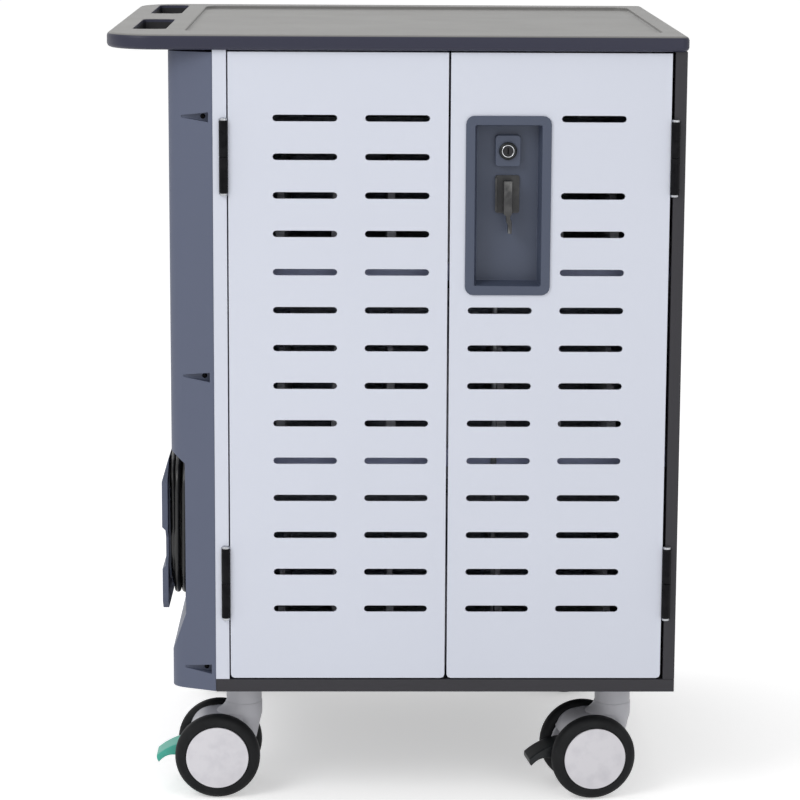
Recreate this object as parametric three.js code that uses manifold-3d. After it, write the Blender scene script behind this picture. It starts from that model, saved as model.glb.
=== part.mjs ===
// Laptop charging cart: a sheet-steel cabinet on twin-wheel casters, with louvred double doors,
// a moulded worktop that ends in a pull handle, and a side cover that stores the power cord.
// Millimetres, +Z up, front towards -Y, origin on the floor under the middle of the worktop.
import * as THREE from "three";
import { mergeVertices } from "three/addons/utils/BufferGeometryUtils.js";
import Module from "manifold-3d";

const wasm = await Module();
wasm.setup();

// Overall sizes
const topWidth = 762;
const topDepth = 670;
const cartHeight = 1048;
const clearance = 0.3;

// Worktop
const topThickness = 20;
const topEdgeRound = 5;
const topHandleCornerRadius = 65;
const topCabinetCornerRadius = 12;
const topFrontOverhang = 9;
const topRightOverhang = 2;
const recessDepth = 4.5;
const recessSideMargin = 27;
const recessFrontMargin = 70;
const recessBackMargin = 44;
const recessCornerRadius = 20;
const gripWidth = 44;
const gripBarWidth = 30;
const gripFrontStart = 105;
const gripRearMargin = 33;
const gripBetween = 122;
const gripCornerRadius = 9;

// Cabinet sheet metal
const cabinetWidth = 619;
const sheet = 2;
const baseHeight = 17.5;
const baseUnderside = 163;
const leftPostWidth = 18;
const rightPostWidth = 15.6;
const postReturn = 26;
const rearFlange = 26;

// Doors
const doorThickness = 18;
const doorSideGap = 2;
const doorTopGap = 2.5;
const doorCornerRadius = 5;
const centreGap = 3;
const rightDoorWidth = 288.5;
const slotLength = 85;
const slotHeight = 8.8;
const slotPitch = 50.8;
const slotTopMargin = 86;
const slotBottomMargin = 90;
const slotInnerMargin = 24;
const slotColumnGap = 36;
const cupClearRows = 5;
const bareRow = 1;

// Hinges
const barrelRadius = 6;
const hingeLength = 98;
const hingePinRadius = 2.4;
const hingeForward = 1.5;
const hingeFromDoor = 5.8;
const hingeTopMargin = 88;
const hingeBottomMargin = 83;

// Lock cup, key lock and latch
const cupWidth = 112;
const cupHeight = 237;
const cupCornerRadius = 11;
const cupFlange = 2.2;
const cupInset = 20;
const cupTopMargin = 82;
const cupRim = 12;
const cupDraft = 3.5;
const cupDepth = 27;
const cupWall = 2;
const bossWidth = 33;
const bossHeight = 41;
const bossRise = 9;
const bossDrop = 48;
const lockBodyRadius = 8.5;
const lockRingRadius = 11.2;
const lockRing = 1.6;
const lockTail = 10;
const lockPlugRadius = 6.5;
const lockPlugEdge = 1;
const keywayWidth = 1.8;
const keywayHeight = 8;
const keywayDepth = 4;
const tongueLength = 26;
const tongueThickness = 3;
const latchDrop = 121;
const latchPlateWidth = 32;
const latchPlateHeight = 50;
const latchPlate = 2.5;
const latchPlateDrop = 10;
const latchLip = 5;
const latchShaftRadius = 5;
const leverWidth = 11.4;
const leverReach = 35;
const leverDepth = 15;
const leverStandoff = 9;
const leverTail = 10;
const padlockEyeRadius = 3.2;
const padlockEyeMargin = 8;
const camThickness = 3;
const camRadius = 9;
const camReach = 14;
const rodRadius = 4;
const rodTip = 3;
const rodEnd = 2;
const rodTravel = 12;
const rodGuideHalf = 9;
const rodGuideHeight = 10;

// Side cover and cord bay
const coverThickness = 60;
const coverWall = 3;
const coverFrontSet = 2;
const coverFaceSlant = 18;
const coverCornerRun = 15;
const coverCornerFall = 21;
const coverTopGap = 3.5;
const screwPocketHeight = 13;
const screwPocketEnd = 3;
const screwPocketWidth = 36;
const screwPocketTopMargin = 85;
const screwPocketBottomMargin = 30;
const bayLipDepth = 19;
const bayDepth = 34;
const bayRise = 104;
const bayCordGap = 3.4;
const bayTopFlare = 16;
const bayBottomFlare = 55;
const bayFrontSet = 64;
const bayLength = 242;

// Cord cleat, cord and plug
const cordRadius = 4.25;
const cordPitch = 9.7;
const cordTurns = 5;
const cordHubGap = 0.9;
const hubHalfLength = 50;
const hubHalfHeight = 81;
const hubCorner = 32;
const hubFrontGap = 7.9;
const hornPlate = 8;
const hornProud = 16;
const hornHalfLength = 70;
const hornWaist = 12;
const hornWaistTop = -1.5;
const hornWaistBottom = -51;
const hornWaistSet = 4.4;
const hornTipLean = 26;
const upperHornRise = 92;
const lowerHornDrop = 113;
const glandLength = 40;
const glandRadius = 9;
const glandTipRadius = 6;
const glandBand = 13.3;
const plugLength = 55;
const plugRadius = 14;
const plugBand = 13.7;
const plugWaistRadius = 9.8;
const plugNeckRadius = 6.8;
const bladeLength = 16;
const bladeSpread = 6.3;
const bladeThickness = 1.6;
const bladeWidth = 6.4;
const earthRadius = 2.4;
const tailReach = 40;
const tailDrop = 58;

// Inside of the cabinet
const upperShelfRow = 4;
const lowerShelfRow = 9;
const shelfLip = 16;
const shelfRodGap = 1.4;
const chargerBayDepth = 208;
const rackPlate = 2.5;
const rackBays = 8;
const rackSideGap = 9;
const rackFrontSet = 22;
const rackBackSet = 18;
const finFoot = 14;
const finTip = 7;
const finHeight = 120;
const finNoseStart = 40;
const finNoseRun = 60;
const cableSlotWidth = 420;
const cableSlotHeight = 22;
const cableSlotRise = 165;
const stripLength = 440;
const stripHeight = 44;
const stripDepth = 38;
const stripRise = 90;
const stripCorner = 4;
const stripOutlets = 8;
const outletWidth = 30;
const outletHeight = 26;
const outletRecess = 3;
const controllerWidth = 190;
const controllerDepth = 130;
const controllerHeight = 84;
const controllerCorner = 6;
const controllerGap = 14;
const rearPanelReturn = 12;
const rearVentRows = 6;
const rearLockDrop = 60;
const rearLockLength = 20;

// Casters
const wheelRadius = 59;
const wheelWidth = 25;
const wheelGap = 51;
const wheelFacets = 20;
const hubCapRadius = 42.5;
const capProud = 0.8;
const capBevel = 2;
const capWall = 2;
const tyreShoulder = 5;
const tyreCrown = 1;
const casterTrail = 35;
const casterFromFront = 84;
const casterFromLeft = 34;
const casterFromRight = 76;
const axleRadius = 4;
const neckRadius = 25;
const neckRise = 24;
const neckTaperRise = 68;
const neckFootRadius = 14;
const neckCollarDrop = 13;
const neckStep = 0.6;
const neckTopGap = 3.5;
const forkRim = 54;
const forkHub = 36;
const forkFrontBelly = 4;
const forkFrontInset = 13;
const forkNeckDrop = 13;
const forkCrown = [-13, 72.7];
const forkCrownPull = [-41, 64];
const forkFilletPull = [8, 76];
const forkBellyAngle = -56;
const forkHeelAngle = -140;
const forkBackAngle = 195;
const forkShoulderAngle = 152;
const stemRadius = 10;
const socketPlate = 3.7;
const socketHalf = 30;
const socketCorner = 6;
const rightCasterTurn = 9;

// Brake pedals: the pivot from the axle, and the side outline from the pivot
const pedalPivotBack = 36;
const pedalPivotRise = 12;
const pedalPivotRadius = 3;
const pedalHalf = 20;
const pedalHeel = [8, -6];
const pedalKnee = [8, 8];
const pedalCrown = [-20, 10];
const pedalTip = [-44, -11];
const pedalLip = [-41, -26];
const pedalHollow = [-28, -2];
const pedalToe = [-14, -13];
const pedalPocketFront = 12;
const pedalPocketDrop = 28;
const pedalPocketRise = 13;

// Places that follow from the sizes
const right = topWidth / 2 - topRightOverhang;
const left = right - cabinetWidth;
const front = -topDepth / 2 + topFrontOverhang;
const rear = topDepth / 2 - topFrontOverhang;
const topUnderside = cartHeight - topThickness;
const floorTop = baseUnderside + baseHeight;
const wallBottom = floorTop + clearance;
const wallTop = topUnderside - clearance;
const leftPostEdge = left + leftPostWidth;
const rightPostEdge = right - rightPostWidth;
const doorBottom = floorTop + doorSideGap;
const doorTop = topUnderside - doorTopGap;
const rightDoorRight = rightPostEdge - doorSideGap * 2;
const rightDoorLeft = rightDoorRight - rightDoorWidth;
const leftDoorRight = rightDoorLeft - centreGap;
const leftDoorLeft = leftPostEdge + doorSideGap;
const hingeY = front - hingeForward;
const leftHingeX = leftDoorLeft - hingeFromDoor;
const rightHingeX = rightDoorRight + hingeFromDoor;
const slotRows = 1 + Math.floor((doorTop - doorBottom - slotTopMargin - slotBottomMargin) / slotPitch);
const rowHeight = (row) => doorTop - slotTopMargin - row * slotPitch;

// Materials
const paint = (color, roughness, metalness = 0) =>
  new THREE.MeshStandardMaterial({ color, roughness, metalness });
const paleSteel = paint(0xd6dae6, 0.45);
const darkSteel = paint(0x4a4a4f, 0.5);
const slatePlastic = paint(0x666e86, 0.55);
const topPlastic = paint(0x55565f, 0.6);
const cupPlastic = paint(0x525a6e, 0.5);
const greyPlastic = paint(0xc4c4cb, 0.5);
const blackPlastic = paint(0x1c1e21, 0.5);
const blackRubber = paint(0x202326, 0.75);
const greenPlastic = paint(0x40af9b, 0.45);
const blackSteel = paint(0x1b1b1e, 0.4, 0.6);
const bareSteel = paint(0xb5b8bc, 0.3, 1);

// A closed geometry as a solid with its faces outwards.
function solidOf(geometry) {
  const bare = geometry.index ? geometry.toNonIndexed() : geometry.clone();
  bare.deleteAttribute("normal");
  bare.deleteAttribute("uv");
  const merged = mergeVertices(bare, 1e-4);
  const vertProperties = merged.attributes.position.array;
  const corners = merged.index.array;
  const triangles = [];
  for (let i = 0; i < corners.length; i += 3) {
    const [a, b, c] = [corners[i], corners[i + 1], corners[i + 2]];
    if (a !== b && b !== c && c !== a) triangles.push([a, b, c]);
  }
  const made = (list) =>
    new wasm.Manifold(
      new wasm.Mesh({ numProp: 3, vertProperties, triVerts: Uint32Array.from(list.flat()) }),
    );
  const solid = made(triangles);
  return solid.volume() > 0 ? solid : made(triangles.map(([a, b, c]) => [a, c, b]));
}

function geometryOf(solid) {
  const { vertProperties, triVerts } = solid.getMesh();
  const geometry = new THREE.BufferGeometry();
  geometry.setAttribute("position", new THREE.BufferAttribute(vertProperties, 3));
  geometry.setIndex(new THREE.BufferAttribute(triVerts, 1));
  geometry.computeVertexNormals();
  return geometry;
}

const join = (...solids) => solids.reduce((all, next) => all.add(next));
const cut = (solid, ...tools) => tools.reduce((left, tool) => left.subtract(tool), solid);

function block(x0, x1, y0, y1, z0, z1) {
  const box = new THREE.BoxGeometry(x1 - x0, y1 - y0, z1 - z0);
  return solidOf(box.translate((x0 + x1) / 2, (y0 + y1) / 2, (z0 + z1) / 2));
}

const polygon = (points) => new THREE.Shape(points.map(([u, v]) => new THREE.Vector2(u, v)));

// A rectangle with a radius for its left and for its right corners.
function roundedRect(u0, u1, v0, v1, leftRadius, rightRadius = leftRadius) {
  const quarter = Math.PI / 2;
  const shape = new THREE.Shape();
  shape.absarc(u1 - rightRadius, v0 + rightRadius, rightRadius, -quarter, 0);
  shape.absarc(u1 - rightRadius, v1 - rightRadius, rightRadius, 0, quarter);
  shape.absarc(u0 + leftRadius, v1 - leftRadius, leftRadius, quarter, 2 * quarter);
  shape.absarc(u0 + leftRadius, v0 + leftRadius, leftRadius, 2 * quarter, 3 * quarter);
  return shape;
}

// A rectangle with square top corners and rounded lower ones.
function footedRect(u0, u1, v0, v1, radius) {
  const shape = new THREE.Shape();
  shape.moveTo(u1, v1);
  shape.lineTo(u0, v1);
  shape.absarc(u0 + radius, v0 + radius, radius, Math.PI, 1.5 * Math.PI);
  shape.absarc(u1 - radius, v0 + radius, radius, 1.5 * Math.PI, 2 * Math.PI);
  return shape;
}

const extruded = (shape, length, curveSegments) =>
  new THREE.ExtrudeGeometry(shape, { depth: length, bevelEnabled: false, curveSegments });

// A plan outline raised from z0 to z1.
const upright = (shape, z0, z1, segments = 1) =>
  solidOf(extruded(shape, z1 - z0, segments).translate(0, 0, z0));

// A front outline, in X and Z, carried from y0 to y1.
const frontal = (shape, y0, y1, segments = 1) =>
  solidOf(extruded(shape, y1 - y0, segments).rotateX(Math.PI / 2).translate(0, y1, 0));

// A side outline, in Y and Z, carried from x0 to x1.
function sideways(shape, x0, x1, segments = 1) {
  const axes = [new THREE.Vector3(0, 1, 0), new THREE.Vector3(0, 0, 1), new THREE.Vector3(1, 0, 0)];
  const basis = new THREE.Matrix4().makeBasis(...axes);
  return solidOf(extruded(shape, x1 - x0, segments).applyMatrix4(basis).translate(x0, 0, 0));
}

const lathe = (profile, segments) =>
  new THREE.LatheGeometry(profile.map(([r, h]) => new THREE.Vector2(r, h)), segments);

// Profiles of radius and height turned about a vertical axis, or about an axis along Y.
const turnedZ = (profile, x, y, segments = 12) =>
  solidOf(lathe(profile, segments).rotateX(Math.PI / 2).translate(x, y, 0));
const turnedY = (profile, x, z, segments = 12) =>
  solidOf(lathe(profile, segments).translate(x, 0, z));

const rodProfile = (radius, h0, h1) => [[0, h0], [radius, h0], [radius, h1], [0, h1]];
const postZ = (x, y, z0, z1, radius, segments = 12) =>
  turnedZ(rodProfile(radius, z0, z1), x, y, segments);
const pinY = (x, z, y0, y1, radius, segments = 12) =>
  turnedY(rodProfile(radius, y0, y1), x, z, segments);

// The corner radius of a faceted bore, so that its flats clear what turns in it
const boreFor = (radius, segments = 12) => (radius + clearance) / Math.cos(Math.PI / segments);

// A skin through rings of equally many points, closed by a flat cap at each end.
function loft(rings) {
  const count = rings[0].length;
  const index = [];
  for (let ring = 0; ring < rings.length - 1; ring++) {
    for (let i = 0; i < count; i++) {
      const a = ring * count + i;
      const b = ring * count + ((i + 1) % count);
      index.push(a, b, b + count, a, b + count, a + count);
    }
  }
  const last = (rings.length - 1) * count;
  for (let i = 1; i < count - 1; i++) {
    index.push(0, i + 1, i, last, last + i, last + i + 1);
  }
  const geometry = new THREE.BufferGeometry().setFromPoints(rings.flat());
  geometry.setIndex(index);
  return solidOf(geometry);
}

// The points of a rounded rectangle, as a ring at one depth.
const ringXZ = (u0, u1, v0, v1, radius, y, segments = 1) =>
  roundedRect(u0, u1, v0, v1, radius).getPoints(segments).slice(0, -1)
    .map((p) => new THREE.Vector3(p.x, y, p.y));

const cart = new THREE.Group();

function piece(name, solid, material, parent = cart) {
  const mesh = new THREE.Mesh(geometryOf(solid), material);
  mesh.name = name;
  parent.add(mesh);
}

// Lock cup places, needed by the door, the worktop and the base
const cupLeft = rightDoorLeft + cupInset;
const cupRight = cupLeft + cupWidth;
const cupTop = doorTop - cupTopMargin;
const cupBottom = cupTop - cupHeight;
const latchX = (cupLeft + cupRight) / 2;
const latchZ = cupTop - latchDrop;
const cupFloor = front + cupDepth;
const cupBack = cupFloor + cupWall;
const camFront = cupBack + clearance;
const camBack = camFront + camThickness;
const rodY = camBack + clearance + rodRadius;
const upperRodX = latchX + camReach;
const lowerRodX = latchX - camReach;

// Worktop with its rimmed recess, the two grip slots and the socket for the upper latch rod
function worktop() {
  const halfX = topWidth / 2 - topEdgeRound;
  const halfY = topDepth / 2 - topEdgeRound;
  const outline = roundedRect(-halfX, halfX, -halfY, halfY,
    topHandleCornerRadius - topEdgeRound, topCabinetCornerRadius - topEdgeRound);
  const slab = new THREE.ExtrudeGeometry(outline, {
    depth: topThickness - 2 * topEdgeRound,
    bevelThickness: topEdgeRound,
    bevelSize: topEdgeRound,
    bevelSegments: 2,
    curveSegments: 4,
  }).translate(0, 0, topUnderside + topEdgeRound);
  const gripLeft = -topWidth / 2 + gripBarWidth;
  const gripRight = gripLeft + gripWidth;
  const recess = upright(
    roundedRect(gripRight + recessSideMargin, topWidth / 2 - recessSideMargin,
      -topDepth / 2 + recessFrontMargin, topDepth / 2 - recessBackMargin, recessCornerRadius),
    cartHeight - recessDepth, cartHeight + clearance, 2);
  const gripLength = (topDepth - gripFrontStart - gripRearMargin - gripBetween) / 2;
  const grips = [0, gripLength + gripBetween].map((step) => {
    const start = -topDepth / 2 + gripFrontStart + step;
    return upright(roundedRect(gripLeft, gripRight, start, start + gripLength, gripCornerRadius),
      topUnderside - clearance, cartHeight + clearance);
  });
  const socket = postZ(upperRodX, rodY, topUnderside - clearance,
    topUnderside + rodTravel - doorTopGap, rodRadius + 2 * clearance);
  return cut(solidOf(slab), recess, ...grips, socket);
}
piece("worktop", worktop(), topPlastic);

// Base pan: the cabinet floor with a skirt folded down all round
function basePan() {
  const inner = block(left + sheet, right - sheet, front + sheet, rear - sheet,
    baseUnderside - clearance, floorTop - sheet);
  const socket = postZ(lowerRodX, rodY, baseUnderside, floorTop + clearance, rodRadius + 2 * clearance);
  return cut(block(left, right, front, rear, baseUnderside, floorTop), inner, socket);
}
piece("base_pan", basePan(), darkSteel);

// Notches that seat the hinge barrels, one pair to each side
const hingeStarts = [doorTop - hingeTopMargin - hingeLength, doorBottom + hingeBottomMargin];
const hingeNotches = (x) =>
  hingeStarts.map((z) =>
    postZ(x, hingeY, z - clearance, z + hingeLength + clearance, barrelRadius + clearance));

// A side wall folded into a front post and a rear flange; hand is 1 for the right side, -1 for the left
function sideWall(outer, hand, postWidth, hingeX) {
  const at = (inset) => outer - hand * inset;
  const section = polygon([
    [at(0), front], [at(postWidth), front], [at(postWidth), front + postReturn],
    [at(postWidth - sheet), front + postReturn], [at(postWidth - sheet), front + sheet],
    [at(sheet), front + sheet], [at(sheet), rear - sheet], [at(rearFlange), rear - sheet],
    [at(rearFlange), rear], [at(0), rear],
  ]);
  return cut(upright(section, wallBottom, wallTop), ...hingeNotches(hingeX));
}
piece("right_wall", sideWall(right, 1, rightPostWidth, rightHingeX), darkSteel);

// Cord places: the hub centre, the wound layers and the gland
const bayFloorX = left - coverThickness + bayDepth;
const bayOuterX = left - coverThickness;
const bayLipX = bayOuterX + bayLipDepth;
const bayFront = front + bayFrontSet;
const bayRear = bayFront + bayLength;
const windingDepth = cordHubGap + 2 * cordRadius + cordPitch;
const hubY = bayFront + hubFrontGap + windingDepth + hubHalfLength;
const bayBottom = baseUnderside + bayRise;
const hubZ = bayBottom + bayCordGap + windingDepth + hubHalfHeight;
const bayTop = 2 * hubZ - bayBottom;
const hornInner = bayOuterX - hornProud + hornPlate;
const firstLoopX = hornInner + 2 * clearance + cordRadius + (cordTurns / 2) * cordPitch;
const loopHalfLength = hubHalfLength + cordRadius + cordHubGap;
const loopHalfHeight = hubHalfHeight + cordRadius + cordHubGap;
const loopCorner = hubCorner + cordRadius + cordHubGap;
const leadZ = hubZ - loopHalfHeight;

const cordPass = sideways(
  new THREE.Shape().absarc(bayRear + glandRadius * 2, leadZ, glandRadius, 0, 2 * Math.PI),
  left - clearance, left + sheet + clearance, 5);
piece("left_wall", cut(sideWall(left, -1, leftPostWidth, leftHingeX), cordPass), paleSteel);

// Folded door: a front sheet with returns on its four edges
function doorPan(x0, x1) {
  const outer = frontal(footedRect(x0, x1, doorBottom, doorTop, doorCornerRadius),
    front, front + doorThickness);
  const inner = frontal(
    footedRect(x0 + sheet, x1 - sheet, doorBottom + sheet, doorTop - sheet, doorCornerRadius - sheet),
    front + sheet, front + doorThickness + clearance);
  return cut(outer, inner);
}

function louvre(x0, row) {
  const z = rowHeight(row);
  const half = slotHeight / 2;
  return frontal(roundedRect(x0, x0 + slotLength, z - half, z + half, half),
    front - clearance, front + sheet + clearance);
}

const rows = [...Array(slotRows).keys()];
const columnStep = slotLength + slotColumnGap;
const leftColumns = [0, 1].map((i) => leftDoorRight - slotInnerMargin - slotLength - i * columnStep);
const rightColumns = [0, 1].map((i) => rightDoorLeft + slotInnerMargin + i * columnStep);

const leftLouvres = leftColumns.flatMap((x) => rows.map((row) => louvre(x, row)));
piece("left_door",
  cut(doorPan(leftDoorLeft, leftDoorRight), join(...leftLouvres), ...hingeNotches(leftHingeX)),
  paleSteel);

// The right door gives up louvres to the lock cup, and carries a guide for each latch rod.
function rightDoor() {
  const louvres = [
    ...rows.filter((row) => row >= cupClearRows).map((row) => louvre(rightColumns[0], row)),
    ...rows.filter((row) => row !== bareRow).map((row) => louvre(rightColumns[1], row)),
  ];
  const seat = cupRim - cupWall - clearance;
  const cupSeat = block(cupLeft + seat, cupRight - seat, front - clearance, front + doorThickness,
    cupBottom + seat, cupTop - seat);
  const guideY = front + doorThickness - sheet;
  const guides = [[upperRodX, doorTop - rodGuideHeight], [lowerRodX, doorBottom]].map(([x, z]) =>
    cut(block(x - rodGuideHalf, x + rodGuideHalf, guideY, rodY + rodGuideHalf, z, z + rodGuideHeight),
      postZ(x, rodY, z - clearance, z + rodGuideHeight + clearance, boreFor(rodRadius))));
  const pan = cut(doorPan(rightDoorLeft, rightDoorRight), join(...louvres), cupSeat,
    ...hingeNotches(rightHingeX));
  return join(pan, ...guides);
}
piece("right_door", rightDoor(), paleSteel);

// Lift-off hinges: the post half carries the pin, and the door half drops over it.
const hingeMiddle = hingeLength / 2;
const domeHeight = 2.5;
const domeRadius = barrelRadius - domeHeight;
function postHalf(x, z) {
  return turnedZ([
    [0, z], [domeRadius, z], [barrelRadius, z + domeHeight], [barrelRadius, z + hingeMiddle],
    [hingePinRadius, z + hingeMiddle], [hingePinRadius, z + hingeLength - 2 * domeHeight],
    [0, z + hingeLength - 2 * domeHeight],
  ], x, hingeY);
}
function doorHalf(x, z) {
  const boreTop = z + hingeLength - 2 * domeHeight + clearance;
  const bore = boreFor(hingePinRadius);
  return turnedZ([
    [0, boreTop], [bore, boreTop], [bore, z + hingeMiddle + clearance],
    [barrelRadius, z + hingeMiddle + clearance], [barrelRadius, z + hingeLength - domeHeight],
    [domeRadius, z + hingeLength], [0, z + hingeLength],
  ], x, hingeY);
}
for (const [side, x] of [["left", leftHingeX], ["right", rightHingeX]]) {
  hingeStarts.forEach((z, i) => {
    const level = ["upper", "lower"][i];
    piece(`${side}_${level}_hinge_pin`, postHalf(x, z), blackSteel);
    piece(`${side}_${level}_hinge_barrel`, doorHalf(x, z), blackSteel);
  });
}

// Lock cup: a flanged pocket with drafted walls and a raised boss for the key lock
const lockZ = cupTop - bossDrop;
const bossFace = cupFloor - bossRise;
function lockCup() {
  const flange = frontal(roundedRect(cupLeft, cupRight, cupBottom, cupTop, cupCornerRadius),
    front - clearance - cupFlange, front - clearance, 2);
  const pocketRing = (grow, y, radius) => {
    const inset = cupRim - grow;
    return ringXZ(cupLeft + inset, cupRight - inset, cupBottom + inset, cupTop - inset, radius, y);
  };
  const shell = loft([
    pocketRing(cupWall, front - 2 * clearance, cupWall * 2),
    pocketRing(cupWall - cupDraft, cupBack, cupWall * 2),
  ]);
  const pocket = loft([
    pocketRing(0, front - clearance - cupFlange - clearance, cupWall),
    pocketRing(-cupDraft, cupFloor, cupWall),
  ]);
  const boss = frontal(
    roundedRect(latchX - bossWidth / 2, latchX + bossWidth / 2,
      lockZ - bossHeight / 2, lockZ + bossHeight / 2, cupWall * 2),
    bossFace, cupFloor + cupWall / 2);
  const lockBore = pinY(latchX, lockZ, bossFace - clearance, cupBack + clearance, boreFor(lockBodyRadius));
  const shaftBore = pinY(latchX, latchZ, cupFloor - clearance, cupBack + clearance,
    boreFor(latchShaftRadius));
  return cut(join(cut(join(flange, shell), pocket), boss), lockBore, shaftBore);
}
piece("lock_cup", lockCup(), cupPlastic);

// Key lock: ring, body, keyway and a tongue behind the cup
function lockCylinder() {
  const face = bossFace - clearance - lockRing;
  const end = cupBack + lockTail;
  const body = turnedY([
    [0, face - lockRing], [lockPlugRadius, face - lockRing], [lockPlugRadius + lockPlugEdge, face],
    [lockRingRadius, face], [lockRingRadius, face + lockRing], [lockBodyRadius, face + lockRing],
    [lockBodyRadius, end], [0, end],
  ], latchX, lockZ, 16);
  const keyway = block(latchX - keywayWidth / 2, latchX + keywayWidth / 2,
    face - lockRing - clearance, face + keywayDepth, lockZ - keywayHeight / 2, lockZ + keywayHeight / 2);
  const tongue = block(latchX - lockPlugRadius, latchX + lockPlugRadius,
    end - tongueThickness, end, lockZ, lockZ + tongueLength);
  return cut(join(body, tongue), keyway);
}
piece("lock_cylinder", lockCylinder(), bareSteel);

// Latch plate with a turned-up lip, under the handle
const plateLeft = latchX - latchPlateWidth / 2;
const plateBottom = latchZ - latchPlateDrop;
const plateTop = plateBottom + latchPlateHeight;
const plateBack = cupFloor - clearance;
function latchPlateSolid() {
  const plate = frontal(
    roundedRect(plateLeft, plateLeft + latchPlateWidth, plateBottom, plateTop, latchPlate),
    plateBack - latchPlate, plateBack);
  const lip = block(plateLeft, plateLeft + sheet, plateBack - latchPlate - latchLip,
    plateBack - latchPlate / 2, plateBottom + latchPlate, plateTop - latchPlate);
  const bore = pinY(latchX, latchZ, plateBack - latchPlate - clearance, plateBack + clearance,
    boreFor(latchShaftRadius));
  return cut(join(plate, lip), bore);
}
piece("latch_plate", latchPlateSolid(), blackSteel);

// Latch handle: a blade grip on a shaft, with a padlock eye in its tail
function latchHandle() {
  const back = cupFloor - leverStandoff;
  const half = leverWidth / 2;
  const grip = frontal(
    roundedRect(latchX - half, latchX + half, latchZ - leverTail, latchZ + leverReach, sheet),
    back - leverDepth, back);
  const tail = frontal(
    roundedRect(latchX - half + clearance, latchX + half - clearance, latchZ - leverReach, latchZ, sheet),
    back - leverDepth / 2, back - sheet);
  const shaft = pinY(latchX, latchZ, back - sheet, camBack, latchShaftRadius);
  const eye = pinY(latchX, latchZ - leverReach + padlockEyeMargin,
    back - leverDepth, back, padlockEyeRadius);
  return cut(join(grip, tail, shaft), eye);
}
piece("latch_handle", latchHandle(), blackSteel);

// Latch cam on the shaft's end, and the two rods that it drives
function latchCam() {
  const plate = frontal(
    roundedRect(latchX - camReach - camRadius, latchX + camReach + camRadius,
      latchZ - camRadius, latchZ + camRadius, camRadius - clearance),
    camFront, camBack, 2);
  return cut(plate, pinY(latchX, latchZ, camFront - clearance, camBack + clearance,
    latchShaftRadius + clearance));
}
piece("latch_cam", latchCam(), bareSteel);

function latchRod(x, from, to) {
  const sign = Math.sign(to - from);
  return turnedZ([
    [0, from], [rodRadius, from], [rodRadius, to - sign * rodTip], [rodEnd, to], [0, to],
  ], x, rodY);
}
piece("upper_latch_rod", latchRod(upperRodX, latchZ - rodRadius, doorTop - clearance), bareSteel);
piece("lower_latch_rod", latchRod(lowerRodX, latchZ + rodRadius, doorBottom + clearance), bareSteel);

// Side cover: a moulded shell with a slanted front face, screw pockets and the cord bay
const coverTop = topUnderside - coverTopGap;
const coverInner = left - clearance;
const coverFront = front + coverFrontSet;
const coverRear = rear - coverFrontSet;
function coverOutline(inset) {
  const outerX = bayOuterX + inset;
  const cornerX = bayOuterX + coverCornerRun;
  const cornerY = coverFront + coverFaceSlant;
  const shape = new THREE.Shape();
  shape.moveTo(coverInner + inset * 2, coverFront + inset);
  shape.lineTo(cornerX, cornerY + inset);
  shape.quadraticCurveTo(outerX, cornerY + coverCornerRun / 2, outerX, cornerY + coverCornerFall);
  shape.lineTo(outerX, -cornerY - coverCornerFall);
  shape.quadraticCurveTo(outerX, -cornerY - coverCornerRun / 2, cornerX, -cornerY - inset);
  shape.lineTo(coverInner + inset * 2, coverRear - inset);
  return shape;
}

// The bay's section in X and Z, grown outwards by a wall where its shell is made
function baySection(innerX, grow) {
  const past = coverThickness;
  const topSlope = bayTopFlare / bayLipDepth;
  const bottomSlope = bayBottomFlare / bayLipDepth;
  return polygon([
    [innerX + grow, bayTop + grow], [bayLipX, bayTop + grow],
    [bayLipX - past, bayTop + grow + past * topSlope],
    [bayLipX - past, bayBottom - 2 * grow - past * bottomSlope],
    [bayLipX, bayBottom - 2 * grow], [innerX + grow, bayBottom - 2 * grow],
  ]);
}

function sideCover() {
  const outer = upright(coverOutline(0), baseUnderside, coverTop, 4);
  const inner = upright(coverOutline(coverWall), baseUnderside + coverWall, coverTop - coverWall, 4);
  const bayWall = join(
    frontal(baySection(bayLipX, coverWall), coverFront - clearance, bayFront + coverWall),
    frontal(baySection(bayFloorX, coverWall), bayFront - coverWall, bayRear + coverWall));
  const bay = join(
    frontal(baySection(bayLipX, 0), coverFront - coverWall, bayFront + clearance),
    frontal(baySection(bayFloorX, 0), bayFront, bayRear));
  const pocketRight = left - 2 * coverWall;
  const pocketLeft = pocketRight - screwPocketWidth;
  const pocketFloor = coverFront + coverFaceSlant;
  const pocketMiddles = [
    coverTop - screwPocketTopMargin,
    (coverTop + baseUnderside) / 2,
    baseUnderside + screwPocketBottomMargin,
  ];
  const pocketAt = (z, grow) => {
    const end = screwPocketEnd / 2 + grow;
    const mouth = screwPocketHeight / 2 + grow;
    return frontal(
      polygon([[pocketLeft - grow, z - end], [pocketRight + grow, z - mouth],
        [pocketRight + grow, z + mouth], [pocketLeft - grow, z + end]]),
      coverFront - coverWall, pocketFloor + grow);
  };
  const bosses = join(...pocketMiddles.map((z) => pocketAt(z, coverWall)), bayWall).intersect(outer);
  const glandBore = pinY(firstLoopX, leadZ, bayRear - coverWall, bayRear + 2 * coverWall,
    cordRadius + clearance);
  return cut(join(cut(outer, inner), bosses), bay, ...pocketMiddles.map((z) => pocketAt(z, 0)), glandBore);
}
piece("side_cover", sideCover(), slatePlastic);

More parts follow.
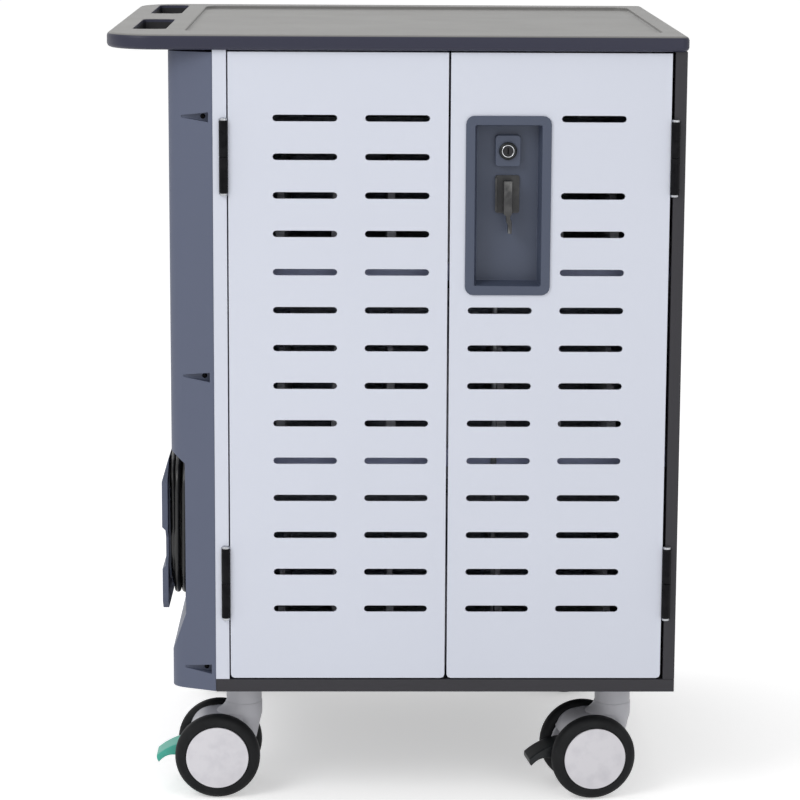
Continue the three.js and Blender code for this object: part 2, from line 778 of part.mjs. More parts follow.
// Cord cleat: an oblong hub with a plate whose two horns keep the cord on
function cordCleat() {
  const hub = sideways(
    roundedRect(hubY - hubHalfLength, hubY + hubHalfLength,
      hubZ - hubHalfHeight, hubZ + hubHalfHeight, hubCorner),
    hornInner - clearance, bayFloorX - clearance, 2);
  const waist = hornHalfLength - hornWaist;
  const half = [
    [-hornHalfLength / 2, upperHornRise], [-hornHalfLength, upperHornRise - 2 * hornWaist],
    [-hornHalfLength, hornWaistTop], [-waist, hornWaistTop - hornWaist],
    [-waist, hornWaistBottom + hornWaist], [-hornHalfLength, hornWaistBottom],
    [-hornHalfLength, -lowerHornDrop + hornWaist], [-waist, -lowerHornDrop],
  ];
  const other = half.map(([y, z]) => [-y, z]).reverse();
  const outerX = hornInner - hornPlate;
  const plate = sideways(
    polygon([...half, ...other].map(([y, z]) => [hubY + y, hubZ + z])), outerX, hornInner);
  const beyond = outerX - hornPlate;
  const waistCut = polygon([
    [beyond, hubZ + hornWaistBottom - hornWaistSet], [outerX, hubZ + hornWaistBottom - hornWaistSet],
    [outerX + hornWaistSet, hubZ + hornWaistBottom], [outerX + hornWaistSet, hubZ + hornWaistTop],
    [outerX, hubZ + hornWaistTop + hornWaistSet], [beyond, hubZ + hornWaistTop + hornWaistSet],
  ]);
  const tipZ = hubZ + upperHornRise;
  const tipCut = polygon([
    [beyond, tipZ - hornTipLean], [outerX, tipZ - hornTipLean], [hornInner - 2 * clearance, tipZ + clearance],
    [beyond, tipZ + clearance],
  ]);
  const cutters = [waistCut, tipCut].map((shape) =>
    frontal(shape, hubY - hornHalfLength - clearance, hubY + hornHalfLength + clearance));
  return join(hub, cut(plate, ...cutters));
}
piece("cord_cleat", cordCleat(), slatePlastic);

// Cord gland on the bay's rear wall
piece("cord_gland", turnedY([
  [cordRadius + clearance, bayRear - glandLength], [glandTipRadius, bayRear - glandLength],
  [glandRadius, bayRear - glandBand], [glandRadius, bayRear - clearance],
  [cordRadius + clearance, bayRear - clearance], [cordRadius + clearance, bayRear - glandLength],
], firstLoopX, leadZ), blackPlastic);

// Power cord: from the gland along the lower run, round the hub in two layers, and off to the plug.
// Each loop is a rounded rectangle; the winding steps towards the horns, climbs a layer, and steps back.
function cordPath() {
  const straightSteps = 2;
  const cornerSteps = 4;
  const turnSteps = 4 * (straightSteps + cornerSteps);
  const flatY = loopHalfLength - loopCorner;
  const flatZ = loopHalfHeight - loopCorner;
  // Corner centres and start angles in the order of travel: bottom run forwards, front run upwards
  const corners = [[-1, -1, -90], [-1, 1, 180], [1, 1, 90], [1, -1, 0]];
  // The climb rolls over the neighbouring turn: its step across and its rise together keep the pitch.
  const reversal = cordTurns / 2;
  const rise = (turn) => {
    const across = 1 - 2 * THREE.MathUtils.clamp(turn - reversal, 0, 0.5);
    return cordPitch * Math.sqrt(1 - across * across);
  };
  const columnX = (turn) => firstLoopX - cordPitch * (reversal - Math.abs(turn - reversal));
  const points = [];
  points.push(new THREE.Vector3(firstLoopX, bayRear - glandLength - clearance, leadZ));
  const leadSteps = 6;
  for (let i = 1; i < leadSteps; i++) {
    const y = THREE.MathUtils.lerp(points[0].y, hubY + flatY, i / leadSteps);
    points.push(new THREE.Vector3(firstLoopX, y, leadZ));
  }
  const steps = cordTurns * turnSteps;
  const tailStart = steps - (straightSteps + 2 * cornerSteps) - straightSteps;
  for (let step = 0; step <= tailStart; step++) {
    const turn = step / turnSteps;
    const leg = Math.floor((step % turnSteps) / (straightSteps + cornerSteps));
    const along = step % (straightSteps + cornerSteps);
    const [sideY, sideZ, from] = corners[leg];
    const out = rise(turn);
    const radius = loopCorner + out;
    const bend = Math.max(along - straightSteps, 0) / cornerSteps;
    const angle = THREE.MathUtils.degToRad(from - 90 * bend);
    const [previousY, previousZ] = corners[(leg + 3) % 4];
    const run = Math.min(along / straightSteps, 1);
    const centreY = THREE.MathUtils.lerp(previousY, sideY, run) * flatY;
    const centreZ = THREE.MathUtils.lerp(previousZ, sideZ, run) * flatZ;
    points.push(new THREE.Vector3(columnX(turn),
      hubY + centreY + radius * Math.cos(angle), hubZ + centreZ + radius * Math.sin(angle)));
  }
  const lastX = points.at(-1).x;
  const topZ = points.at(-1).z;
  const overY = hubY + flatY + tailReach;
  const bendRadius = loopCorner;
  for (let i = 1; i <= 3; i++) {
    const y = THREE.MathUtils.lerp(points.at(-1).y, overY, i / 3);
    points.push(new THREE.Vector3(lastX, y, topZ));
  }
  for (let i = 1; i <= cornerSteps; i++) {
    const angle = (Math.PI / 2) * (1 - i / cornerSteps);
    points.push(new THREE.Vector3(lastX,
      overY + bendRadius * Math.cos(angle), topZ - bendRadius + bendRadius * Math.sin(angle)));
  }
  const endZ = topZ - bendRadius - tailDrop;
  points.push(new THREE.Vector3(lastX, overY + bendRadius, (topZ - bendRadius + endZ) / 2));
  points.push(new THREE.Vector3(lastX, overY + bendRadius, endZ));
  return points;
}

// A tube of six sides carried along points by frames that turn no more than the path does
function tube(points, radius, sides = 6) {
  const tangents = points.map((p, i) => {
    const before = points[Math.max(i - 1, 0)];
    const after = points[Math.min(i + 1, points.length - 1)];
    return after.clone().sub(before).normalize();
  });
  const normal = new THREE.Vector3(1, 0, 0);
  const rings = points.map((p, i) => {
    normal.addScaledVector(tangents[i], -normal.dot(tangents[i])).normalize();
    const binormal = tangents[i].clone().cross(normal);
    return [...Array(sides).keys()].map((k) => {
      const angle = (2 * Math.PI * (k + 0.5)) / sides;
      return p.clone()
        .addScaledVector(normal, radius * Math.cos(angle))
        .addScaledVector(binormal, radius * Math.sin(angle));
    });
  });
  return loft(rings);
}

// The least gap between stretches of the cord that are more than a few diameters apart along it
function leastGap(points, radius) {
  const fine = [];
  for (let i = 0; i < points.length - 1; i++) {
    for (let k = 0; k < 4; k++) fine.push(points[i].clone().lerp(points[i + 1], k / 4));
  }
  const along = [0];
  for (let i = 1; i < fine.length; i++) along.push(along[i - 1] + fine[i].distanceTo(fine[i - 1]));
  let least = Infinity;
  for (let i = 0; i < fine.length; i++) {
    for (let j = i + 1; j < fine.length; j++) {
      if (along[j] - along[i] > 8 * radius) least = Math.min(least, fine[i].distanceTo(fine[j]));
    }
  }
  return { gap: least - 2 * radius, length: along.at(-1) };
}

const cordPoints = cordPath();
const cordMeasure = leastGap(cordPoints, cordRadius);
console.log(`power cord: ${cordMeasure.length.toFixed(0)} mm long, least gap to itself ` +
  `${cordMeasure.gap.toFixed(2)} mm`);
piece("power_cord", tube(cordPoints, cordRadius), blackRubber);

// Mains plug hanging at the cord's end: a tapered grip, a flat face and three blades
function plug() {
  const end = cordPoints.at(-1);
  const top = end.z - clearance;
  const face = top - plugLength + bladeLength;
  const grip = turnedZ([
    [0, face], [plugRadius, face], [plugRadius, face + plugBand],
    [plugWaistRadius, top - plugBand], [plugNeckRadius, top], [0, top],
  ], end.x, end.y);
  const blades = [-1, 1].map((side) => {
    const x = end.x + side * bladeSpread;
    return block(x - bladeThickness / 2, x + bladeThickness / 2,
      end.y - bladeWidth, end.y, face - bladeLength, face + clearance);
  });
  const earth = postZ(end.x, end.y + bladeSpread, face - bladeLength, face + clearance, earthRadius, 8);
  return join(grip, ...blades, earth);
}
piece("mains_plug", plug(), blackPlastic);

// Shelves: plates with a front lip and side flanges turned down
const insideLeft = left + sheet + clearance;
const insideRight = right - sheet - clearance;
const shelfFront = rodY + rodRadius + shelfRodGap;
const shelfRear = rear - chargerBayDepth;
const shelfTops = [rowHeight(upperShelfRow), rowHeight(lowerShelfRow)].map((z) => z + shelfLip / 2);
function shelf(top) {
  const body = block(insideLeft, insideRight, shelfFront, shelfRear, top - shelfLip, top);
  return cut(body, block(insideLeft + sheet, insideRight - sheet, shelfFront + sheet, shelfRear + clearance,
    top - shelfLip - clearance, top - sheet));
}
piece("upper_shelf", shelf(shelfTops[0]), paleSteel);
piece("lower_shelf", shelf(shelfTops[1]), paleSteel);

// Divider racks: a plate with tapered fins that keep the laptops upright
const levels = [["upper", shelfTops[0]], ["middle", shelfTops[1]], ["lower", floorTop]];
function dividerRack(floor) {
  const x0 = insideLeft + rackSideGap;
  const x1 = insideRight - rackSideGap;
  const y0 = shelfFront + rackFrontSet;
  const y1 = shelfRear - rackBackSet;
  const bottom = floor + clearance;
  const plateTop = bottom + rackPlate;
  const pitch = (x1 - x0) / rackBays;
  const fins = [...Array(rackBays - 1).keys()].map((i) => {
    const x = x0 + (i + 1) * pitch;
    const section = polygon([
      [x - finFoot / 2, plateTop - clearance], [x + finFoot / 2, plateTop - clearance],
      [x + finTip / 2, plateTop + finHeight], [x - finTip / 2, plateTop + finHeight],
    ]);
    return frontal(section, y0, y1);
  });
  // The fins' front corners are cut back so that a laptop slides in easily.
  const noseCut = sideways(
    polygon([[y0, plateTop + finNoseStart], [y0 + finNoseRun, plateTop + finHeight],
      [y0 + finNoseRun, plateTop + finHeight + finTip], [y0 - finTip, plateTop + finHeight + finTip],
      [y0 - finTip, plateTop + finNoseStart]]),
    x0, x1);
  return cut(join(block(x0, x1, y0, y1, bottom, plateTop), ...fins), noseCut);
}
for (const [level, floor] of levels) piece(`${level}_divider_rack`, dividerRack(floor), greyPlastic);

// Partition between the laptops and their chargers, with a cable slot for each level
const partitionFront = shelfRear + clearance;
const partitionBack = partitionFront + sheet;
function partition() {
  const panel = block(insideLeft, insideRight, partitionFront, partitionBack, wallBottom, wallTop);
  const middle = (insideLeft + insideRight) / 2;
  const slots = levels.map(([, floor]) => {
    const z = floor + cableSlotRise;
    return frontal(
      roundedRect(middle - cableSlotWidth / 2, middle + cableSlotWidth / 2,
        z - cableSlotHeight / 2, z + cableSlotHeight / 2, cableSlotHeight / 2),
      partitionFront - clearance, partitionBack + clearance);
  });
  return cut(panel, join(...slots));
}
piece("partition", partition(), paleSteel);

// Power strips on the back of the partition, with recessed outlets that face the rear
function powerStrip(floor) {
  const middle = (insideLeft + insideRight) / 2;
  const z = floor + stripRise;
  const y0 = partitionBack + clearance;
  const y1 = y0 + stripDepth;
  const body = frontal(
    roundedRect(middle - stripLength / 2, middle + stripLength / 2,
      z - stripHeight / 2, z + stripHeight / 2, stripCorner), y0, y1);
  const pitch = stripLength / stripOutlets;
  const outlets = [...Array(stripOutlets).keys()].map((i) => {
    const x = middle - stripLength / 2 + (i + 0.5) * pitch;
    return block(x - outletWidth / 2, x + outletWidth / 2, y1 - outletRecess, y1 + clearance,
      z - outletHeight / 2, z + outletHeight / 2);
  });
  return cut(body, join(...outlets));
}
for (const [level, floor] of levels) piece(`${level}_power_strip`, powerStrip(floor), blackPlastic);

// Power controller on the floor of the charger bay
const controllerFront = partitionBack + stripDepth + controllerGap;
piece("power_controller", upright(
  roundedRect(insideRight - clearance - controllerWidth, insideRight - clearance,
    controllerFront, controllerFront + controllerDepth, controllerCorner),
  floorTop + clearance, floorTop + clearance + controllerHeight), blackPlastic);

// Rear panel: a folded pan with vents, held by a cam lock
const rearLeft = left + rearFlange + clearance;
const rearRight = right - rearFlange - clearance;
const rearMiddle = (rearLeft + rearRight) / 2;
const rearLockZ = wallTop - rearLockDrop;
function rearPanel() {
  const outer = block(rearLeft, rearRight, rear - rearPanelReturn, rear, wallBottom, wallTop);
  const inner = block(rearLeft + sheet, rearRight - sheet, rear - rearPanelReturn - clearance, rear - sheet,
    wallBottom + sheet, wallTop - sheet);
  const vents = [-1, 1].flatMap((side) =>
    [...Array(rearVentRows).keys()].map((i) => {
      const x = rearMiddle + side * columnStep - slotLength / 2;
      const z = rowHeight(i + cupClearRows - 1);
      return frontal(
        roundedRect(x, x + slotLength, z - slotHeight / 2, z + slotHeight / 2, slotHeight / 2),
        rear - sheet - clearance, rear + clearance);
    }));
  const lockBore = pinY(rearMiddle, rearLockZ, rear - sheet - clearance, rear + clearance,
    boreFor(lockBodyRadius));
  return cut(outer, inner, join(...vents), lockBore);
}
piece("rear_panel", rearPanel(), darkSteel);

function rearLock() {
  const end = rear - rearLockLength;
  const face = rear + clearance;
  const body = turnedY([
    [0, end], [lockBodyRadius, end], [lockBodyRadius, face], [lockRingRadius, face],
    [lockRingRadius, face + lockRing], [lockPlugRadius, face + 2 * lockRing], [0, face + 2 * lockRing],
  ], rearMiddle, rearLockZ, 16);
  const keyway = block(rearMiddle - keywayWidth / 2, rearMiddle + keywayWidth / 2,
    face + 2 * lockRing - keywayDepth, face + 2 * lockRing + clearance,
    rearLockZ - keywayHeight / 2, rearLockZ + keywayHeight / 2);
  const tongue = block(rearMiddle - lockPlugRadius, rearMiddle + lockPlugRadius,
    end, end + tongueThickness, rearLockZ, rearLockZ + tongueLength);
  return cut(join(body, tongue), keyway);
}
piece("rear_lock", rearLock(), bareSteel);

// Casters. In its own frame the swivel axis is Z at the origin and the wheels trail towards -X.
// A wheel stands on one of its facets, so its axle is a facet's distance above the floor.
const axleX = -casterTrail;
const axleZ = wheelRadius * Math.cos(Math.PI / wheelFacets);
const wheelInner = wheelGap / 2;
const wheelOuter = wheelInner + wheelWidth;
const axleHalf = wheelOuter - capWall - clearance;
const forkHalf = wheelInner - 2 * clearance;
const pedalPivot = [axleX - pedalPivotBack, axleZ + pedalPivotRise];
const socketTop = floorTop - sheet - clearance;
const neckTop = socketTop - socketPlate - neckTopGap;
const neckBottom = axleZ + neckRise;

// Mounting plate under the cabinet floor, with the stem that the fork swivels on
function casterSocket() {
  const plate = upright(roundedRect(-socketHalf, socketHalf, -socketHalf, socketHalf, socketCorner),
    socketTop - socketPlate, socketTop);
  const stem = postZ(0, 0, neckBottom + stemRadius, socketTop - socketPlate / 2, stemRadius);
  return join(plate, stem);
}

// Fork: a round neck that tapers down into a web between the wheels. The web's back follows the wheels'
// rims over the top and runs up to the neck in a hollow curve
function casterFork(withPedal) {
  const collar = baseUnderside - neckCollarDrop;
  const neck = turnedZ([
    [0, neckBottom], [neckFootRadius, neckBottom], [neckRadius, axleZ + neckTaperRise], [neckRadius, collar],
    [neckRadius - neckStep, collar + neckStep], [neckRadius - neckStep, neckTop], [0, neckTop],
  ], 0, 0, 16);
  const degrees = THREE.MathUtils.degToRad;
  const belly = degrees(forkBellyAngle);
  const webFront = neckRadius - forkFrontInset;
  const fromAxle = ([x, z]) => [axleX + x, axleZ + z];
  const web = new THREE.Shape();
  web.moveTo(webFront, baseUnderside - forkNeckDrop);
  web.lineTo(webFront, neckBottom);
  web.quadraticCurveTo(webFront - forkFrontBelly, axleZ - forkFrontBelly,
    axleX + forkHub * Math.cos(belly), axleZ + forkHub * Math.sin(belly));
  web.absarc(axleX, axleZ, forkHub, belly, degrees(forkHeelAngle), true);
  web.absarc(axleX, axleZ, forkRim, degrees(forkBackAngle), degrees(forkShoulderAngle), true);
  web.quadraticCurveTo(...fromAxle(forkCrownPull), ...fromAxle(forkCrown));
  web.quadraticCurveTo(...fromAxle(forkFilletPull), -neckRadius + 2 * neckStep, baseUnderside - forkNeckDrop);
  const plate = frontal(web, -forkHalf, forkHalf, 3);
  const stemBore = postZ(0, 0, neckBottom + stemRadius - clearance, neckTop + clearance, boreFor(stemRadius));
  const axleBore = pinY(axleX, axleZ, -forkHalf - clearance, forkHalf + clearance, boreFor(axleRadius));
  const fork = cut(join(neck, plate), stemBore, axleBore);
  if (!withPedal) return fork;
  const [px, pz] = pedalPivot;
  const pocket = block(px - forkRim, px + pedalPocketFront, -pedalHalf - clearance, pedalHalf + clearance,
    pz - pedalPocketDrop, pz + pedalPocketRise);
  const pivotBore = pinY(px, pz, -forkHalf - clearance, forkHalf + clearance, boreFor(pedalPivotRadius));
  return cut(fork, pocket, pivotBore);
}

// Brake pedal: a curved tongue between the wheels whose tip reaches past their rims
function brakePedal() {
  const [px, pz] = pedalPivot;
  const at = ([x, z]) => [px + x, pz + z];
  const arm = new THREE.Shape();
  arm.moveTo(...at(pedalHeel));
  arm.lineTo(...at(pedalKnee));
  arm.quadraticCurveTo(...at(pedalCrown), ...at(pedalTip));
  arm.lineTo(...at(pedalLip));
  arm.quadraticCurveTo(...at(pedalHollow), ...at(pedalToe));
  const pivot = pinY(px, pz, -forkHalf + clearance, forkHalf - clearance, pedalPivotRadius);
  return join(frontal(arm, -pedalHalf, pedalHalf, 4), pivot);
}

// Wheel with its tyre and domed cap; side is -1 for the wheel at -Y
function wheel(side) {
  const bore = boreFor(axleRadius);
  const boreEnd = wheelOuter - capWall;
  const tyreFace = wheelOuter - capProud;
  const profile = [
    [0, wheelOuter + capProud], [hubCapRadius - capBevel, wheelOuter], [hubCapRadius, tyreFace],
    [wheelRadius - tyreShoulder, tyreFace],
    [wheelRadius - tyreCrown, wheelOuter - tyreShoulder], [wheelRadius, wheelOuter - wheelWidth / 2],
    [wheelRadius - tyreCrown, wheelInner + tyreShoulder], [wheelRadius - tyreShoulder, wheelInner],
    [bore, wheelInner], [bore, boreEnd], [0, boreEnd],
  ];
  const turned = lathe(profile.map(([r, y]) => [r, side * y]), wheelFacets);
  return solidOf(turned.rotateY(Math.PI / wheelFacets).translate(axleX, 0, axleZ));
}

const casterLeft = left + casterFromLeft;
const casterRight = right - casterFromRight;
const casterFrontY = front + casterFromFront;
const casterPlaces = [
  ["front_left", casterLeft, casterFrontY, 0, greenPlastic],
  ["front_right", casterRight, casterFrontY, rightCasterTurn, blackPlastic],
  ["rear_left", casterLeft, -casterFrontY, 0, null],
  ["rear_right", casterRight, -casterFrontY, 0, null],
];
for (const [place, x, y, turn, pedalMaterial] of casterPlaces) {
  const fixed = new THREE.Group();
  fixed.position.set(x, y, 0);
  piece(`${place}_caster_socket`, casterSocket(), bareSteel, fixed);
  const swivel = new THREE.Group();
  swivel.rotation.z = THREE.MathUtils.degToRad(turn);
  piece(`${place}_caster_fork`, casterFork(pedalMaterial !== null), greyPlastic, swivel);
  piece(`${place}_axle`, pinY(axleX, axleZ, -axleHalf, axleHalf, axleRadius), bareSteel, swivel);
  piece(`${place}_wheel_a`, wheel(-1), blackRubber, swivel);
  piece(`${place}_wheel_b`, wheel(1), blackRubber, swivel);
  if (pedalMaterial) piece(`${place}_brake_pedal`, brakePedal(), pedalMaterial, swivel);
  fixed.add(swivel);
  cart.add(fixed);
}

export default cart;
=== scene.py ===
"""Laptop charging cart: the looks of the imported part, laid out as a Blender add-on and run as a script.

Everything is in metres in the part's own frame: +Z up, the doors face -Y, the floor is z = 0.
"""

import bpy
import numpy as np
from mathutils import Matrix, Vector
from mathutils.geometry import tessellate_polygon


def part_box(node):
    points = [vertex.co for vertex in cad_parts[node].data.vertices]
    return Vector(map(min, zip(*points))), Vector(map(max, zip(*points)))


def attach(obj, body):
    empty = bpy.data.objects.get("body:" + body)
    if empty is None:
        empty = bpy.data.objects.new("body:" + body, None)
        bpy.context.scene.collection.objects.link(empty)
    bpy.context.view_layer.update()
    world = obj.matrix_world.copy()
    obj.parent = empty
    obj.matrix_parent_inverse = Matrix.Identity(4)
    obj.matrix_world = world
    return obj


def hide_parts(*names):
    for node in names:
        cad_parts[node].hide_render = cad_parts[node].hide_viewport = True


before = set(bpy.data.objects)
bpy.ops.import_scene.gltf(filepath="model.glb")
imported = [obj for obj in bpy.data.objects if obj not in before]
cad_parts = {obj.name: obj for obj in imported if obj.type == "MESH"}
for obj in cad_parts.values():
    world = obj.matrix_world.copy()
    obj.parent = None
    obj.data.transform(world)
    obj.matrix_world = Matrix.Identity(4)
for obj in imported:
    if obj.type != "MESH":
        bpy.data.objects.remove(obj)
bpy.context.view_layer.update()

bl_info = {
    "name": "Laptop charging cart",
    "version": (1, 0, 0),
    "blender": (4, 5, 0),
    "location": "View3D > Sidebar > Cart",
    "description": "Dresses the laptop charging cart and sets its studio stage",
    "category": "Object",
}

MM = 0.001

# Places shared with the solids, in metres
CORNERS = ("front_left", "front_right", "rear_left", "rear_right")
STEMS = {
    "front_left": (-0.206, -0.242, 0.0),
    "front_right": (0.303, -0.242, 9.0),
    "rear_left": (-0.206, 0.242, 0.0),
    "rear_right": (0.303, 0.242, 0.0),
}
AXLE_X = -0.035
AXLE_Z = 0.059 * np.cos(np.pi / 20)
AXLE = np.array([AXLE_X, AXLE_Z]) / MM
PEDAL_PIVOT = (AXLE_X - 0.036, AXLE_Z + 0.012)
LATCH_X, LATCH_Z, LOCK_Z = 0.1469, 0.8225, 0.8955
HINGE_Y = -0.3275
HINGES = {"left": -0.2258, "right": 0.3652}
HINGE_FEET = {"upper": 0.8395, "lower": 0.2655}
SCREW_POCKETS = (0.9395, 0.59375, 0.193)

# Radius of the ring that closes a turned shape at its axis
POLE = 0.0001


def linear(red, green, blue):
    """Display colour of 0 to 255 as linear light: ((c + 0.055) / 1.055) to the power 2.4, or c / 12.92."""
    c = np.array([red, green, blue]) / 255.0
    light = np.where(c <= 0.04045, c / 12.92, ((c + 0.055) / 1.055) ** 2.4)
    return tuple(float(v) for v in light)


def colour_property(name, description, rgb):
    """A colour setting whose default is given as display values."""
    return bpy.props.FloatVectorProperty(
        name=name, description=description, subtype="COLOR", size=3, min=0.0, max=1.0, default=linear(*rgb)
    )


def length_property(name, description, value):
    """A length setting in metres."""
    return bpy.props.FloatProperty(
        name=name, description=description, default=value, min=0.0, precision=5, unit="LENGTH"
    )


class CartColours(bpy.types.PropertyGroup):
    """Colours of the cart's finishes"""

    pale_steel: colour_property("Pale steel", "Powder coat of the doors and the left post", (214, 218, 230))
    dark_steel: colour_property("Dark steel", "Powder coat of the base and the right post", (45, 44, 49))
    slate: colour_property("Slate plastic", "Side cover and cord cleat", (84, 91, 112))
    worktop: colour_property("Worktop edge", "Edges of the moulded worktop", (46, 47, 64))
    # Worktop face is painted sheen: a lighter, warmer grey laid on the upward faces and the recess of the
    # slate worktop, for its reflection at a grazing view
    worktop_top_sheen: colour_property("Worktop face", "Upper face of the moulded worktop", (120, 119, 117))
    cup: colour_property("Cup plastic", "Lock cup", (68, 76, 95))
    grey: colour_property("Grey plastic", "Caster forks and divider racks", (193, 193, 199))
    cap: colour_property("Hub cap", "Caster hub caps", (226, 224, 229))
    tyre: colour_property("Tyre", "Caster tyres", (18, 19, 21))
    black: colour_property("Black plastic", "Plug, power gear and the black pedal", (24, 27, 29))
    green: colour_property("Green pedal", "Brake pedal of the front left caster", (64, 175, 155))
    hinge: colour_property("Hinge black", "Hinges", (13, 13, 16))
    latch: colour_property("Latch grey", "Latch plate and lever", (52, 52, 53))
    rail: colour_property("Rail blue", "Label rails on the shelves", (200, 208, 244))
    floor: colour_property("Floor", "Studio floor", (252, 252, 252))


class CartSizes(bpy.types.PropertyGroup):
    """Sizes of the pieces that Blender makes"""

    edge: length_property("Edge round", "Rounding of folded and moulded edges", 0.0007)
    cord_radius: length_property("Cord radius", "Half the power cord's thickness", 0.00425)
    cord_pitch: length_property("Cord pitch", "From one turn of the cord to the next", 0.0097)
    wheel_radius: length_property("Wheel radius", "Radius of the visible tyre", float(AXLE_Z))
    cap_radius: length_property("Cap radius", "Radius of the hub cap", 0.0425)
    barrel_radius: length_property("Hinge radius", "Radius of a hinge barrel", 0.006)


# Surfaces worked out as arrays


def grid_faces(rows, columns):
    """Quads of a grid whose last column joins its first: point (i, j) has the index i * columns + j."""
    here = np.arange(rows - 1)[:, None] * columns
    j = np.arange(columns)[None, :]
    k = (j + 1) % columns
    quads = np.stack([here + j, here + k, here + columns + k, here + columns + j], axis=-1)
    return quads.reshape(-1, 4)


def smooth_by_angle():
    """A node group that shades smooth, and keeps edges sharper than the given angle crisp."""
    name = "smooth_by_angle"
    if name in bpy.data.node_groups:
        return bpy.data.node_groups[name]
    group = bpy.data.node_groups.new(name, "GeometryNodeTree")
    group.interface.new_socket("Geometry", in_out="INPUT", socket_type="NodeSocketGeometry")
    group.interface.new_socket("Angle", in_out="INPUT", socket_type="NodeSocketFloat")
    group.interface.new_socket("Geometry", in_out="OUTPUT", socket_type="NodeSocketGeometry")
    nodes, links = group.nodes, group.links
    source = nodes.new("NodeGroupInput")
    sink = nodes.new("NodeGroupOutput")
    faces = nodes.new("GeometryNodeSetShadeSmooth")
    faces.domain = "FACE"
    edges = nodes.new("GeometryNodeSetShadeSmooth")
    edges.domain = "EDGE"
    edges.inputs["Shade Smooth"].default_value = False
    angle = nodes.new("GeometryNodeInputMeshEdgeAngle")
    sharper = nodes.new("FunctionNodeCompare")
    sharper.data_type = "FLOAT"
    sharper.operation = "GREATER_THAN"
    links.new(source.outputs["Geometry"], faces.inputs["Geometry"])
    links.new(faces.outputs["Geometry"], edges.inputs["Geometry"])
    links.new(angle.outputs["Unsigned Angle"], sharper.inputs["A"])
    links.new(source.outputs["Angle"], sharper.inputs["B"])
    links.new(sharper.outputs["Result"], edges.inputs["Selection"])
    links.new(edges.outputs["Geometry"], sink.inputs["Geometry"])
    return group


def shade(obj, degrees=35.0):
    """Adds the shading modifier last on an object."""
    group = smooth_by_angle()
    modifier = obj.modifiers.new("shading", "NODES")
    modifier.node_group = group
    socket = next(s for s in group.interface.items_tree if s.name == "Angle" and s.in_out == "INPUT")
    modifier[socket.identifier] = float(np.radians(degrees))


def level_faces(obj):
    """Lets large flat faces keep their own normal, so that only the rounding beside them looks curved."""
    level = obj.modifiers.new("flat_faces", "WEIGHTED_NORMAL")
    level.keep_sharp = True


def new_piece(name, points, faces, material, body, replaces=(), degrees=35.0, uv=None, flat=False):
    """Makes a mesh object from arrays, gives it its finish, and lets it ride on its body."""
    mesh = bpy.data.meshes.new(name)
    mesh.from_pydata(np.asarray(points, dtype=float).reshape(-1, 3), [], [list(f) for f in faces])
    mesh.materials.append(material)
    if uv is not None:
        layer = mesh.uv_layers.new(name="along")
        corners = np.empty(len(mesh.loops), dtype=np.int32)
        mesh.loops.foreach_get("vertex_index", corners)
        layer.data.foreach_set("uv", np.asarray(uv, dtype=np.float32).reshape(-1, 2)[corners].ravel())
    mesh.validate()
    obj = bpy.data.objects.new(name, mesh)
    bpy.context.scene.collection.objects.link(obj)
    shade(obj, degrees)
    if flat:
        level_faces(obj)
    if replaces:
        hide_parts(*replaces)
    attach(obj, body)
    return obj


def frame_of(axis):
    """Two directions square to an axis: the first leans to +Z, or to +X where the axis is vertical."""
    axis = np.asarray(axis, dtype=float) / np.linalg.norm(axis)
    guide = np.array([1.0, 0, 0]) if abs(axis[2]) > 0.9 else np.array([0, 0, 1.0])
    first = guide - axis * guide.dot(axis)
    first /= np.linalg.norm(first)
    return axis, first, np.cross(axis, first)


def revolved(profile, origin, axis, segments=48):
    """A profile of (radius, height) turned about an axis: P = O + h A + r (U cos t + V sin t).

    The profile runs from one pole to the other, and each pole is a ring of radius close to nothing.
    """
    profile = np.asarray(profile, dtype=float)
    axis, u, v = frame_of(axis)
    t = np.linspace(0, 2 * np.pi, segments, endpoint=False)
    round_ = np.cos(t)[:, None] * u + np.sin(t)[:, None] * v
    points = np.asarray(origin) + profile[:, 1, None, None] * axis + profile[:, 0, None, None] * round_
    faces = with_caps(grid_faces(len(profile), segments), len(profile), segments)
    rise = np.sum((profile[1:, 1] - profile[:-1, 1]) * (profile[1:, 0] + profile[:-1, 0]))
    return points.reshape(-1, 3), faces if rise > 0 else flipped(faces)


def with_caps(faces, rows, columns):
    """The grid's quads and one many-sided face over each end ring."""
    first = list(range(columns))[::-1]
    last = [(rows - 1) * columns + j for j in range(columns)]
    return [*map(list, faces), first, last]


def flipped(faces):
    """The same faces turned over."""
    return [list(f)[::-1] for f in faces]


def rounded_profile(points, radius, steps=5):
    """A profile whose inner corners are rounded: each corner becomes a quadratic curve of the given reach."""
    points = np.asarray(points, dtype=float)
    before, corner, after = points[:-2], points[1:-1], points[2:]
    reach_before = np.linalg.norm(before - corner, axis=1)
    reach_after = np.linalg.norm(after - corner, axis=1)
    cut_before = np.minimum(radius, reach_before * 0.45) / reach_before
    cut_after = np.minimum(radius, reach_after * 0.45) / reach_after
    start = corner + (before - corner) * cut_before[:, None]
    end = corner + (after - corner) * cut_after[:, None]
    t = np.linspace(0, 1, steps)[None, :, None]
    arc = (1 - t) ** 2 * start[:, None] + 2 * t * (1 - t) * corner[:, None] + t**2 * end[:, None]
    return np.concatenate([points[:1], arc.reshape(-1, 2), points[-1:]])


def quadratic(start, pull, end, steps=16):
    """Points of a quadratic curve: (1 - t)^2 A + 2 t (1 - t) B + t^2 C."""
    t = np.linspace(0, 1, steps)[:, None]
    a, b, c = (np.asarray(p, dtype=float) for p in (start, pull, end))
    return (1 - t) ** 2 * a + 2 * t * (1 - t) * b + t**2 * c


